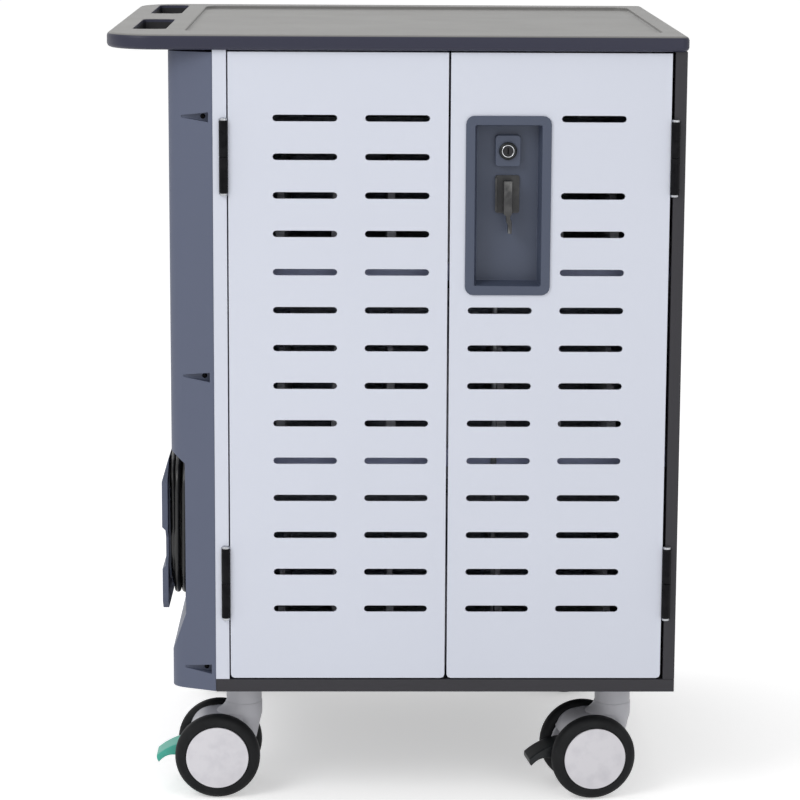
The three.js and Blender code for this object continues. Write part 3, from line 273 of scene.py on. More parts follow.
def swept_tube(path, radius, sides=16):
    """A round section carried along a path: P = C + r (N cos t + B sin t).

    N is the X axis made square to the tangent T, and B = T x N, so the section never twists
    on a path that winds round X.
    """
    path = np.asarray(path, dtype=float)
    tangent = np.gradient(path, axis=0)
    tangent /= np.linalg.norm(tangent, axis=1)[:, None]
    x_axis = np.array([1.0, 0, 0])
    normal = x_axis - tangent * tangent[:, :1]
    normal /= np.linalg.norm(normal, axis=1)[:, None]
    binormal = np.cross(tangent, normal)
    t = np.linspace(0, 2 * np.pi, sides, endpoint=False)
    cosine, sine = np.cos(t)[None, :, None], np.sin(t)[None, :, None]
    points = path[:, None] + radius * (cosine * normal[:, None] + sine * binormal[:, None])
    along = np.concatenate([[0], np.cumsum(np.linalg.norm(np.diff(path, axis=0), axis=1))])
    uv = np.stack(np.broadcast_arrays(along[:, None], t[None, :] / (2 * np.pi)), axis=-1)
    faces = with_caps(grid_faces(len(path), sides), len(path), sides)
    return points.reshape(-1, 3), faces, uv.reshape(-1, 2)


def crowned_block(outline, half_width, edge, sections=13):
    """A closed side outline carried across Y with rounded shoulders.

    Section s in -1..1 lies at y = s half_width, and is drawn in towards the outline's middle by
    edge (1 - sqrt(1 - q q)), where q grows from 0 to 1 over the outer part of the width. Each end is
    closed with triangles, so that hollow outlines stay hollow.
    """
    outline = np.asarray(outline, dtype=float)
    after = np.roll(outline, -1, axis=0)
    middle = outline.mean(axis=0)
    step = after - np.roll(outline, 1, axis=0)
    inward = np.stack([-step[:, 1], step[:, 0]], axis=1)
    inward /= np.linalg.norm(inward, axis=1)[:, None]
    inward *= np.sign(np.sum(inward * (middle - outline), axis=1).sum())
    s = np.sin(np.linspace(-np.pi / 2, np.pi / 2, sections))
    shoulder = 1 - edge / half_width
    q = np.clip((np.abs(s) - shoulder) / (1 - shoulder), 0, 1)
    draw = edge * (1 - np.sqrt(np.maximum(1 - q * q, 0)))
    section = outline[None] + draw[:, None, None] * inward[None]
    count = len(outline)
    y = np.repeat(s[:, None] * half_width, count, axis=1)
    points = np.stack([section[..., 0], y, section[..., 1]], axis=-1)
    area = np.sum(outline[:, 0] * after[:, 1] - after[:, 0] * outline[:, 1])
    cap = np.array(tessellate_polygon([[(x, z, 0.0) for x, z in section[0]]]))
    corner = section[0][cap]
    side, other = corner[:, 1] - corner[:, 0], corner[:, 2] - corner[:, 0]
    turned = (side[:, 0] * other[:, 1] - side[:, 1] * other[:, 0]) * area < 0
    cap[turned] = cap[turned][:, ::-1]
    last = (sections - 1) * count
    faces = [*grid_faces(sections, count).tolist(), *cap[:, ::-1].tolist(), *(cap + last).tolist()]
    return points.reshape(-1, 3), flipped(faces) if area > 0 else faces


# Materials


class Finish:
    """A Principled material under construction, with short calls for its nodes."""

    def __init__(self, name, colour, roughness, metallic=0.0):
        self.material = bpy.data.materials.new(name)
        self.material.use_nodes = True
        self.tree = self.material.node_tree
        self.tree.nodes.clear()
        self.shader = self.add("ShaderNodeBsdfPrincipled")
        output = self.add("ShaderNodeOutputMaterial")
        self.link(self.shader.outputs[0], output.inputs["Surface"])
        self.colour = tuple(colour)
        self.shader.inputs["Base Color"].default_value = (*self.colour, 1)
        self.shader.inputs["Roughness"].default_value = roughness
        self.shader.inputs["Metallic"].default_value = metallic
        self.place = self.add("ShaderNodeTexCoord")
        self.material.diffuse_color = (*self.colour, 1)

    def add(self, kind):
        """A new node of the material."""
        return self.tree.nodes.new(kind)

    def link(self, source, target):
        """Joins an output to an input."""
        self.tree.links.new(source, target)

    def noise(self, scale, detail=3.0, stretch=None, rough=0.55):
        """Noise over the object's own coordinates, stretched along an axis where asked."""
        node = self.add("ShaderNodeTexNoise")
        node.inputs["Scale"].default_value = scale
        node.inputs["Detail"].default_value = detail
        node.inputs["Roughness"].default_value = rough
        source = self.place.outputs["Object"]
        if stretch:
            mapping = self.add("ShaderNodeMapping")
            mapping.inputs["Scale"].default_value = stretch
            self.link(source, mapping.inputs["Vector"])
            source = mapping.outputs["Vector"]
        self.link(source, node.inputs["Vector"])
        return node.outputs["Fac"]

    def ranged(self, value, low, high, start=0.3, stop=0.7):
        """The value's middle spread over low to high."""
        node = self.add("ShaderNodeMapRange")
        for name, number in (("From Min", start), ("From Max", stop), ("To Min", low), ("To Max", high)):
            node.inputs[name].default_value = number
        self.link(value, node.inputs["Value"])
        return node.outputs["Result"]

    def tint(self, mask, colour):
        """Lays another colour over the base colour by a mask."""
        mix = self.add("ShaderNodeMix")
        mix.data_type = "RGBA"
        base = self.shader.inputs["Base Color"]
        if base.is_linked:
            self.link(base.links[0].from_socket, mix.inputs["A"])
        else:
            mix.inputs["A"].default_value = (*self.colour, 1)
        mix.inputs["B"].default_value = (*colour, 1)
        self.link(mask, mix.inputs["Factor"])
        self.link(mix.outputs["Result"], base)

    def facing_up(self):
        """1 where the surface faces up, 0 where it stands upright."""
        parts = self.add("ShaderNodeSeparateXYZ")
        self.link(self.place.outputs["Normal"], parts.inputs["Vector"])
        return self.ranged(parts.outputs["Z"], 0, 1, 0.55, 0.8)

    def within(self, low, high):
        """1 inside a box in the part's frame, 0 outside: the product of one test for each face."""
        parts = self.add("ShaderNodeSeparateXYZ")
        self.link(self.place.outputs["Object"], parts.inputs["Vector"])
        mask = None
        for axis, bottom, top in zip("XYZ", low, high):
            for operation, limit in (("GREATER_THAN", bottom), ("LESS_THAN", top)):
                test = self.add("ShaderNodeMath")
                test.operation = operation
                test.inputs[1].default_value = limit
                self.link(parts.outputs[axis], test.inputs[0])
                mask = test.outputs["Value"] if mask is None else self.times(mask, test.outputs["Value"])
        return mask

    def times(self, first, second):
        """The product of two values."""
        product = self.add("ShaderNodeMath")
        product.operation = "MULTIPLY"
        self.link(first, product.inputs[0])
        self.link(second, product.inputs[1])
        return product.outputs["Value"]

    def shades(self, scale, amount, stretch=None):
        """Drifts the base colour darker and lighter over the piece."""
        drift = self.noise(scale, 2.0, stretch)
        self.tint(self.ranged(drift, 0, 1), [min(c * (1 - amount), 1) for c in self.colour])

    def worn(self, colour, amount):
        """Lightens convex edges a little, broken up by noise, as handling does."""
        geometry = self.add("ShaderNodeNewGeometry")
        edge = self.ranged(geometry.outputs["Pointiness"], 0, amount, 0.52, 0.6)
        self.tint(self.times(edge, self.ranged(self.noise(60, 3), 0, 1, 0.4, 0.65)), colour)

    def gloss(self, scale, low, high, stretch=None):
        """Lets the roughness wander between two values."""
        self.link(self.ranged(self.noise(scale, 4, stretch), low, high), self.shader.inputs["Roughness"])

    def specular(self, level):
        """Sets how much of its surroundings a dull surface mirrors."""
        self.shader.inputs["Specular IOR Level"].default_value = level

    def bump(self, scale, strength, distance, detail=2.0, stretch=None):
        """Lays a fine relief over any relief that is there."""
        node = self.add("ShaderNodeBump")
        node.inputs["Strength"].default_value = strength
        node.inputs["Distance"].default_value = distance
        self.link(self.noise(scale, detail, stretch), node.inputs["Height"])
        normal = self.shader.inputs["Normal"]
        if normal.is_linked:
            self.link(normal.links[0].from_socket, node.inputs["Normal"])
        self.link(node.outputs["Normal"], normal)


def powder_coat(name, colour, roughness=0.42):
    """Baked powder coat: fine orange peel, an even satin gloss and a slight drift of shade."""
    f = Finish(name, colour, roughness)
    f.shades(2.2, 0.035)
    f.gloss(9, roughness - 0.015, roughness + 0.015)
    f.bump(420, 0.10, 0.0004)
    f.bump(1900, 0.05, 0.0002)
    return f


def moulded(name, colour, roughness=0.5, grain=1500, depth=0.14, wander=0.07):
    """Moulded plastic with a fine spark-eroded grain and a soft drift of shade."""
    f = Finish(name, colour, roughness)
    f.shades(3.0, 0.03)
    f.gloss(14, roughness - wander, roughness + wander)
    f.bump(grain, depth, 0.0003, 3)
    return f


def worktop_moulding(colours):
    """Grained slate worktop with painted sheen and painted shade: the upward faces and the recess walls are
    painted a lighter warm grey for the reflection at a grazing view, and the walls inside the grips are
    painted near black for the shade in them.
    """
    # Boxes in the part's frame: the grip walls that get painted shade, and the recess that gets the painted
    # sheen colour
    grips = (-0.3535, -0.235, 1.0), (-0.3045, 0.306, 1.0435)
    recess = (-0.29, -0.28, 1.04), (0.37, 0.31, 1.05)
    f = moulded("worktop_moulding", colours.worktop, 0.42, 1100, 0.2, 0.02)
    f.specular(0.3)
    # Painted shade: the walls inside the grips are painted near black
    f.tint(f.within(*grips), linear(26, 26, 29))
    # Painted sheen: the upward faces, and the recess walls with them, get the lighter warm grey of the
    # reflection at a grazing view
    f.tint(f.facing_up(), colours.worktop_top_sheen)
    f.tint(f.within(*recess), colours.worktop_top_sheen)
    return f


def make_finishes(colours):
    """All finishes by name."""
    made = {}
    made["pale"] = powder_coat("pale_coat", colours.pale_steel)
    made["dark"] = dark = powder_coat("dark_coat", colours.dark_steel, 0.48)
    dark.specular(0.35)
    made["slate"] = moulded("slate_moulding", colours.slate, 0.5, wander=0.03)
    made["worktop"] = worktop_moulding(colours)
    made["cup"] = moulded("cup_moulding", colours.cup, 0.46)
    made["grey"] = moulded("grey_nylon", colours.grey, 0.45, 900, 0.08)
    cap = moulded("hub_cap_nylon", colours.cap, 0.5, 700, 0.06)
    cap.tint(cap.ranged(cap.noise(45, 4), 0, 1, 0.45, 0.75), linear(212, 210, 216))
    made["cap"] = cap
    black = moulded("black_nylon", colours.black, 0.42, 1200, 0.1)
    black.specular(0.3)
    made["black"] = black
    made["green"] = moulded("green_nylon", colours.green, 0.4, 1200, 0.08)
    tyre = Finish("tyre_rubber", colours.tyre, 0.62)
    tyre.specular(0.22)
    tyre.shades(30, 0.25)
    tyre.gloss(40, 0.52, 0.74)
    tyre.bump(900, 0.15, 0.0003, 3)
    made["tyre"] = tyre
    hinge = Finish("hinge_black", colours.hinge, 0.3)
    hinge.specular(0.07)
    hinge.gloss(120, 0.24, 0.4)
    hinge.bump(700, 0.08, 0.0002)
    hinge.worn(linear(110, 110, 114), 0.35)
    made["hinge"] = hinge
    rail = Finish("rail_blue", colours.rail, 0.4)
    rail.gloss(60, 0.34, 0.5)
    rail.bump(700, 0.06, 0.0002)
    made["rail"] = rail
    latch = Finish("latch_grey", colours.latch, 0.42, 0.3)
    latch.gloss(90, 0.34, 0.52)
    latch.bump(800, 0.1, 0.0002)
    latch.worn(linear(150, 150, 148), 0.5)
    made["latch"] = latch
    plug = Finish("lock_plug_steel", linear(48, 48, 50), 0.32, 0.8)
    plug.gloss(200, 0.24, 0.42)
    plug.bump(1500, 0.08, 0.0001)
    made["plug"] = plug
    steel = Finish("bright_zinc", linear(178, 180, 184), 0.3, 1.0)
    steel.gloss(60, 0.22, 0.4, (1, 1, 0.05))
    steel.shades(25, 0.12)
    steel.bump(900, 0.05, 0.0001, 2, (1, 1, 0.04))
    made["steel"] = steel
    chrome = Finish("polished_chrome", linear(212, 214, 217), 0.12, 1.0)
    chrome.gloss(90, 0.08, 0.2)
    made["chrome"] = chrome
    cord = Finish("cord_jacket", linear(16, 17, 18), 0.3)
    cord.shades(40, 0.3)
    cord.gloss(70, 0.24, 0.4)
    cord.bump(500, 0.1, 0.0003)
    made["cord"] = cord
    return {name: finish.material for name, finish in made.items()}


FINISHES = {}


def finish(name):
    """The material of a finish, made at the first call."""
    if not FINISHES:
        FINISHES.update(make_finishes(bpy.context.scene.cart_colours))
    return FINISHES[name]


def dress(node, material, edge=None, degrees=35.0, segments=2):
    """Keeps a solid's shape: merges its facets, rounds its edges a little and gives it its finish."""
    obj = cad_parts[node]
    if not obj.material_slots:
        obj.data.materials.append(None)
    for slot in obj.material_slots:
        slot.link = "OBJECT"
        slot.material = material
    weld = obj.modifiers.new("weld", "WELD")
    weld.merge_threshold = 1e-6
    edge = bpy.context.scene.cart_sizes.edge if edge is None else edge
    if edge > 0:
        bevel = obj.modifiers.new("edges", "BEVEL")
        bevel.width = edge
        bevel.segments = segments
        bevel.limit_method = "ANGLE"
        bevel.angle_limit = float(np.radians(32))
    shade(obj, degrees)
    level_faces(obj)
    return obj


# Operators, one to each group of like pieces


class CartOperator(bpy.types.Operator):
    """Shared settings of the cart's operators"""

    bl_idname = "cart.base"
    bl_label = "Cart piece"
    bl_options = {"REGISTER", "UNDO"}


class CART_OT_stage(CartOperator):
    """Adds the camera, the soft lights, the world and the pale floor"""

    bl_idname = "cart.stage"
    bl_label = "Stage"

    # Yaw, pitch and roll in degrees, the place, and the focal length for a picture 800 pixels wide
    CAMERA_TURN = (-1.05, -10.02, -0.33)
    CAMERA_PLACE = (-0.041, -4.036, 1.307)
    FOCAL_PIXELS, PICTURE_PIXELS, SENSOR_MM = 2850, 800, 36

    # Name, place, target, disc size and power in watts
    LAMPS = (
        ("key", (-1.9, -2.2, 2.5), (0, 0, 0.75), 1.6, 31),
        ("front_fill", (1.6, -3.4, 1.6), (0, 0, 0.5), 2.6, 14),
        ("top", (-0.4, 0.6, 3.6), (0, 0, 0.9), 2.0, 16),
    )
    WORLD_STRENGTH = 0.62
    FLOOR_LIFT = 0.42
    FLOOR_RINGS = (0.0005, 1, 3, 9, 27, 80)
    FLOOR_SIDES = 64
    FLOOR_DROP = 0.0004

    def execute(self, context):
        scene = context.scene
        scene.view_settings.view_transform = "Standard"
        self.camera(scene)
        self.floor(scene)
        self.world(scene)
        for lamp in self.LAMPS:
            self.lamp(*lamp)
        return {"FINISHED"}

    def camera(self, scene):
        """Turned by yaw about Z, pitch about X and roll about Y: R = Rz Rx Ry looks along R's column 2."""
        yaw, pitch, roll = np.radians(self.CAMERA_TURN)
        c, s = np.cos, np.sin
        rz = np.array([[c(yaw), -s(yaw), 0], [s(yaw), c(yaw), 0], [0, 0, 1]])
        rx = np.array([[1, 0, 0], [0, c(pitch), -s(pitch)], [0, s(pitch), c(pitch)]])
        ry = np.array([[c(roll), 0, s(roll)], [0, 1, 0], [-s(roll), 0, c(roll)]])
        turn = rz @ rx @ ry
        data = bpy.data.cameras.new("camera")
        data.sensor_width = self.SENSOR_MM
        data.lens = self.FOCAL_PIXELS / self.PICTURE_PIXELS * self.SENSOR_MM
        data.shift_x = -0.02
        data.shift_y = -0.08
        data.clip_end = 200
        obj = bpy.data.objects.new("camera", data)
        matrix = np.eye(4)
        matrix[:3, 0], matrix[:3, 1], matrix[:3, 2] = turn[:, 0], turn[:, 2], -turn[:, 1]
        matrix[:3, 3] = self.CAMERA_PLACE
        obj.matrix_world = Matrix(matrix.tolist())
        scene.collection.objects.link(obj)
        scene.camera = obj

    def floor(self, scene):
        """A wide disc: P = r (cos t, sin t, 0), with rings that grow outwards."""
        rings, sides = self.FLOOR_RINGS, self.FLOOR_SIDES
        t = np.linspace(0, 2 * np.pi, sides, endpoint=False)
        x, y = np.outer(rings, np.cos(t)), np.outer(rings, np.sin(t))
        points = np.stack([x, y, np.zeros_like(x)], axis=-1)
        mesh = bpy.data.meshes.new("floor")
        mesh.from_pydata(points.reshape(-1, 3), [], grid_faces(len(rings), sides).tolist())
        paint = Finish("studio_floor", scene.cart_colours.floor, 0.9)
        paint.specular(0.0)
        paint.gloss(2, 0.88, 0.94)
        self.brighten(paint)
        mesh.materials.append(paint.material)
        obj = bpy.data.objects.new("floor", mesh)
        obj.location.z = -self.FLOOR_DROP
        scene.collection.objects.link(obj)

    def brighten(self, paint):
        """Adds white light to the floor for the rays that show it: it looks white and keeps its shadow."""
        paint.shader.inputs["Emission Color"].default_value = (1, 1, 1, 1)
        lift = paint.ranged(self.shown(paint.tree), 0, self.FLOOR_LIFT, 0, 1)
        paint.link(lift, paint.shader.inputs["Emission Strength"])

    def world(self, scene):
        """An even white surround that is brighter for the rays that show it."""
        world = bpy.data.worlds.new("studio")
        world.use_nodes = True
        tree = world.node_tree
        background = tree.nodes["Background"]
        background.inputs["Color"].default_value = (1, 1, 1, 1)
        lift = tree.nodes.new("ShaderNodeMapRange")
        lift.inputs["To Min"].default_value = self.WORLD_STRENGTH
        lift.inputs["To Max"].default_value = 1.0
        tree.links.new(self.shown(tree), lift.inputs["Value"])
        tree.links.new(lift.outputs["Result"], background.inputs["Strength"])
        scene.world = world

    def shown(self, tree):
        """1 for the rays that show a surface: from the camera, a reflection or through glass."""
        path = tree.nodes.new("ShaderNodeLightPath")
        seen = path.outputs["Is Camera Ray"]
        for ray in ("Is Glossy Ray", "Is Transmission Ray"):
            either = tree.nodes.new("ShaderNodeMath")
            either.operation = "MAXIMUM"
            tree.links.new(seen, either.inputs[0])
            tree.links.new(path.outputs[ray], either.inputs[1])
            seen = either.outputs["Value"]
        return seen

    def lamp(self, name, place, target, size, power):
        """A round area light that shines from its place to the target."""
        data = bpy.data.lights.new(name, "AREA")
        data.shape = "DISK"
        data.size = size
        data.energy = power
        obj = bpy.data.objects.new(name, data)
        axis, up = frame_of(np.subtract(place, target))[:2]
        matrix = np.eye(4)
        matrix[:3] = np.stack([np.cross(up, axis), up, axis, place], axis=1)
        obj.matrix_world = Matrix(matrix.tolist())
        bpy.context.scene.collection.objects.link(obj)


class CART_OT_cord(CartOperator):
    """Winds the power cord on its cleat and adds its gland and plug"""

    bl_idname = "cart.cord"
    bl_label = "Power cord"

    # The hub's middle in Y and Z, half the winding's size there, and its corner radius
    TURNS = 5
    HUB = (-0.185, 0.3705)
    HALF = (0.05515, 0.08615)
    CORNER = 0.03715

    # Where the first turn lies, where the cord leaves its gland, and the tail over the top
    FIRST_X = -0.2789
    START_Y = -0.0603
    TAIL_REACH, TAIL_DROP = 0.040, 0.058

    # Points along a straight side and round a corner of a turn
    STRAIGHT, BEND = 4, 10

    # The gland's foot, its length, its taper and its ribs
    GLAND_Y = -0.0203
    GLAND_LENGTH, GLAND_RADIUS, GLAND_FALL = 0.040, 0.009, 0.0042
    RIB_PITCH, RIB_DEPTH = 0.0056, 0.0006
    FIT = 0.0003

    def route(self, pitch):
        """The winding's centreline.

        Each turn is a rounded rectangle round the hub with a corner radius R + rise. Its place along X
        steps by the pitch a turn to the middle of the winding and then back, where rise = pitch
        sqrt(1 - a a) lifts it over the turns below, and a falls from 1 to 0 in the half turn of the climb.
        """
        hub_y, hub_z = self.HUB
        flat = np.array([self.HALF[0] - self.CORNER, self.HALF[1] - self.CORNER])
        straight, corner = self.STRAIGHT, self.BEND
        per_leg = straight + corner
        per_turn = 4 * per_leg
        last = self.TURNS * per_turn - (straight + 2 * corner) - straight
        step = np.arange(last + 1)
        turn = step / per_turn
        leg = (step % per_turn) // per_leg
        along = step % per_leg
        sides = np.array([[-1, -1], [-1, 1], [1, 1], [1, -1]])
        angle_from = np.array([-90.0, 180.0, 90.0, 0.0])
        reversal = self.TURNS / 2
        a = 1 - 2 * np.clip(turn - reversal, 0, 0.5)
        radius = self.CORNER + pitch * np.sqrt(np.maximum(1 - a * a, 0))
        bend = np.maximum(along - straight, 0) / corner
        angle = np.radians(angle_from[leg] - 90 * bend)
        run = np.minimum(along / straight, 1)[:, None]
        centre = (sides[(leg + 3) % 4] * (1 - run) + sides[leg] * run) * flat
        x = self.FIRST_X - pitch * (reversal - np.abs(turn - reversal))
        y = hub_y + centre[:, 0] + radius * np.cos(angle)
        z = hub_z + centre[:, 1] + radius * np.sin(angle)
        winding = np.stack([x, y, z], axis=1)
        lead_y = np.linspace(self.START_Y, winding[0, 1], 12)[:-1]
        lead = self.run(x[0], lead_y, z[0])
        over_y = hub_y + flat[0] + self.TAIL_REACH
        top = self.run(x[-1], np.linspace(winding[-1, 1], over_y, 6)[1:], z[-1])
        fall = np.linspace(np.pi / 2, 0, 11)[1:]
        r = self.CORNER
        bend_over = self.run(x[-1], over_y + r * np.cos(fall), z[-1] - r + r * np.sin(fall))
        drop = self.run(x[-1], over_y + r, np.linspace(z[-1] - r, z[-1] - r - self.TAIL_DROP, 6)[1:])
        return np.concatenate([lead, winding, top, bend_over, drop])

    def run(self, x, y, z):
        """Points of a stretch of which at least one coordinate changes."""
        return np.stack(np.broadcast_arrays(x, y, z), axis=1)

    def execute(self, context):
        sizes = context.scene.cart_sizes
        path = self.route(sizes.cord_pitch)
        points, faces, uv = swept_tube(path, sizes.cord_radius)
        cord = new_piece("power_cord_jacket", points, faces, finish("cord"), "cabinet",
                         ("power_cord",), 60, uv)
        self.gland(path[0], sizes.cord_radius)
        plug = self.plug(path[-1])
        return {"FINISHED"}

    def gland(self, start, radius):
        """A strain relief with ribs: its radius falls along Y as r = r0 - k h, with rings cut into it."""
        bore = radius + self.FIT
        h = np.linspace(0, self.GLAND_LENGTH, 81)
        taper = self.GLAND_RADIUS - self.GLAND_FALL * np.clip((h - 0.008) / 0.032, 0, 1)
        wave = self.RIB_DEPTH * np.sign(np.sin(h * 2 * np.pi / self.RIB_PITCH))
        ribs = np.where((h > 0.010) & (h < 0.038), wave, 0)
        profile = [(bore, 0.0), *zip(taper + ribs, h), (bore, self.GLAND_LENGTH)]
        points, faces = revolved(profile, (start[0], self.GLAND_Y, start[2]), (0, -1, 0), 32)
        new_piece("gland_ribbed", points, faces, finish("black"), "cabinet",
                  ("cord_gland",), 40)

    def plug(self, end):
        """Keeps the plug's solid with its blades and earth pin, and adds its grip as a turned shell."""
        neck, waist, grip, length = 0.0070, 0.0101, 0.0143, 0.0392
        profile = rounded_profile(
            [(POLE, 0), (neck, 0), (waist, -0.0137), (waist, -0.019), (grip, -0.0253), (grip, -length),
             (POLE, -length)], 0.003)
        points, faces = revolved(profile, (end[0], end[1], end[2] - self.FIT), (0, 0, 1), 40)
        grip = new_piece("plug_grip", points, faces, finish("black"), "cabinet", (), 45)
        node = dress("mains_plug", finish("steel"), 0)
        return [node, grip]


class CART_OT_cabinet(CartOperator):
    """Finishes the steel cabinet, its doors and what is inside"""

    bl_idname = "cart.cabinet"
    bl_label = "Cabinet"

    def execute(self, context):
        for node in ("left_wall", "left_door", "right_door"):
            dress(node, finish("pale"))
        for node in ("base_pan", "right_wall", "rear_panel"):
            dress(node, finish("dark"))
        for node in ("upper_shelf", "lower_shelf"):
            self.label_rail(dress(node, finish("pale")))
        dress("partition", finish("pale"))
        for level in ("upper", "middle", "lower"):
            dress(f"{level}_divider_rack", finish("grey"))
            dress(f"{level}_power_strip", finish("black"))
        dress("power_controller", finish("black"), 0.002)
        return {"FINISHED"}

    def label_rail(self, shelf):
        """A flat label rail on the shelf's front lip, a little deeper than the lip: a section along X."""
        corners = np.empty(len(shelf.data.vertices) * 3)
        shelf.data.vertices.foreach_get("co", corners)
        corners = corners.reshape(-1, 3)
        lip, bottom = corners[:, 1].min(), corners[:, 2].min()
        front, back = lip - 0.0008, lip + 0.0003
        low, high = bottom - 0.009, corners[:, 2].max() - 0.002
        left, right = corners[:, 0].min() + 0.004, corners[:, 0].max() - 0.004
        ring = rounded_profile([(back, low), (front, low), (front, high), (back, high)], 0.0003, 4)
        points = [[(x, y, z) for y, z in ring] for x in (left, right)]
        faces = flipped(with_caps(grid_faces(2, len(ring)), 2, len(ring)))
        new_piece(f"{shelf.name}_label_rail", points, faces, finish("rail"), "cabinet")


class CART_OT_worktop(CartOperator):
    """Finishes the moulded worktop"""

    bl_idname = "cart.worktop"
    bl_label = "Worktop"

    def execute(self, context):
        dress("worktop", finish("worktop"), 0.0015, 40, 3)
        return {"FINISHED"}


class CART_OT_side_cover(CartOperator):
    """Finishes the side cover and its cord cleat"""

    bl_idname = "cart.side_cover"
    bl_label = "Side cover"

    def execute(self, context):
        dress("side_cover", finish("slate"), 0.0015, 40, 3)
        dress("cord_cleat", finish("slate"), 0.002, 40, 3)
        return {"FINISHED"}


class CART_OT_hinges(CartOperator):
    """Turns the hinge barrels with domed ends"""

    bl_idname = "cart.hinges"
    bl_label = "Hinges"

    # Heights in a hinge: the chamfer of its ends, the two sides of the joint, and the whole
    CHAMFER, SPLIT, HEIGHT = 0.0022, (0.0488, 0.0494), 0.098
    END, ROUND = 0.62, 0.0009
    BUTTON, BUTTON_NECK, BUTTON_DOME, BUTTON_ROOT = 0.85, 0.0013, 0.0012, 0.001

    def execute(self, context):
        r = context.scene.cart_sizes.barrel_radius
        low, high = self.SPLIT
        post_half = [(POLE, 0), (r * self.END, 0), (r, self.CHAMFER), (r, low), (POLE, low)]
        door_half = [(POLE, high), (r, high), (r, self.HEIGHT - self.CHAMFER), (r * self.END, self.HEIGHT),
                     (POLE, self.HEIGHT)]
        for side, x in HINGES.items():
            for level, z in HINGE_FEET.items():
                name, foot, door = f"{side}_{level}_hinge", (x, HINGE_Y, z), f"{side}_door"
                self.half(f"{name}_post_half", post_half, foot, "cabinet", f"{name}_pin")
                self.half(f"{name}_door_half", door_half, foot, door, f"{name}_barrel")
                self.button(f"{name}_foot", foot, (0, 0, -1), r, "cabinet")
                self.button(f"{name}_head", (x, HINGE_Y, z + self.HEIGHT), (0, 0, 1), r, door)
        return {"FINISHED"}

    def half(self, name, profile, foot, body, node):
        """One half of a barrel, turned about the hinge's axis."""
        points, faces = revolved(rounded_profile(profile, self.ROUND), foot, (0, 0, 1), 32)
        new_piece(name, points, faces, finish("hinge"), body, (node,))

    def button(self, name, place, axis, radius, body):
        """A bright rivet end: a short neck and a low dome h = k sqrt(1 - (r / R)^2) that close the barrel."""
        pole, rim = POLE / 2, radius * self.BUTTON
        u = np.cos(np.linspace(0, np.pi / 2, 9))
        dome = np.stack([rim * u + pole, self.BUTTON_NECK + self.BUTTON_DOME * np.sqrt(1 - u**2)], axis=1)
        root = [(pole, -self.BUTTON_ROOT), (rim, -self.BUTTON_ROOT)]
        points, faces = revolved(np.concatenate([root, dome]), place, axis, 24)
        new_piece(name, points, faces, finish("steel"), body)


class CART_OT_screws(CartOperator):
    """Sets the screws that hold the rear flanges, the rear panel and the side cover"""

    bl_idname = "cart.screws"
    bl_label = "Screws"

    # Places of the screws: X and Z on the rear flanges, Y and Z on the right wall, X and Y in the pockets
    FLANGES = {"left": -0.227, "right": 0.366}
    FLANGE_HEIGHTS = (0.24, 0.60, 0.97)
    RIGHT_WALL = ((-0.20, 0.205), (0.20, 0.205), (-0.20, 1.0), (0.20, 1.0))
    POCKET = (-0.2535, -0.306)
    PANEL_RADIUS, POCKET_RADIUS = 0.0042, 0.0034

    def head(self, name, place, axis, radius, material="steel", slot="bare_steel"):
        """A domed head, whose height is k (1 - (r / R)^2)^0.7, with a round socket in its middle."""
        u = np.linspace(1, 0.45, 9)
        dome = np.stack([radius * u, radius * 0.55 * (1 - u**2) ** 0.7], axis=1)
        floor = radius * 0.12
        socket = [(radius * 0.42, dome[-1, 1] - radius * 0.02), (radius * 0.40, floor), (POLE, floor)]
        profile = np.concatenate([[(POLE, -0.0002), (radius, -0.0002)], dome, socket])
        points, faces = revolved(profile, place, axis, 24)
        new_piece(name, points, faces, finish(material), "cabinet")

    def execute(self, context):
        right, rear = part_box("right_wall")[1][:2]
        for side, x in self.FLANGES.items():
            for i, z in enumerate(self.FLANGE_HEIGHTS, 1):
                self.head(f"{side}_flange_screw_{i}", (x, rear, z), (0, 1, 0), self.PANEL_RADIUS)
        for i, (y, z) in enumerate(self.RIGHT_WALL, 1):
            self.head(f"right_wall_screw_{i}", (right, y, z), (1, 0, 0), self.PANEL_RADIUS)
        for i, z in enumerate(SCREW_POCKETS, 1):
            self.head(f"cover_screw_{i}", (*self.POCKET, z), (0, -1, 0), self.POCKET_RADIUS, "hinge",
                      "black_steel")
        return {"FINISHED"}


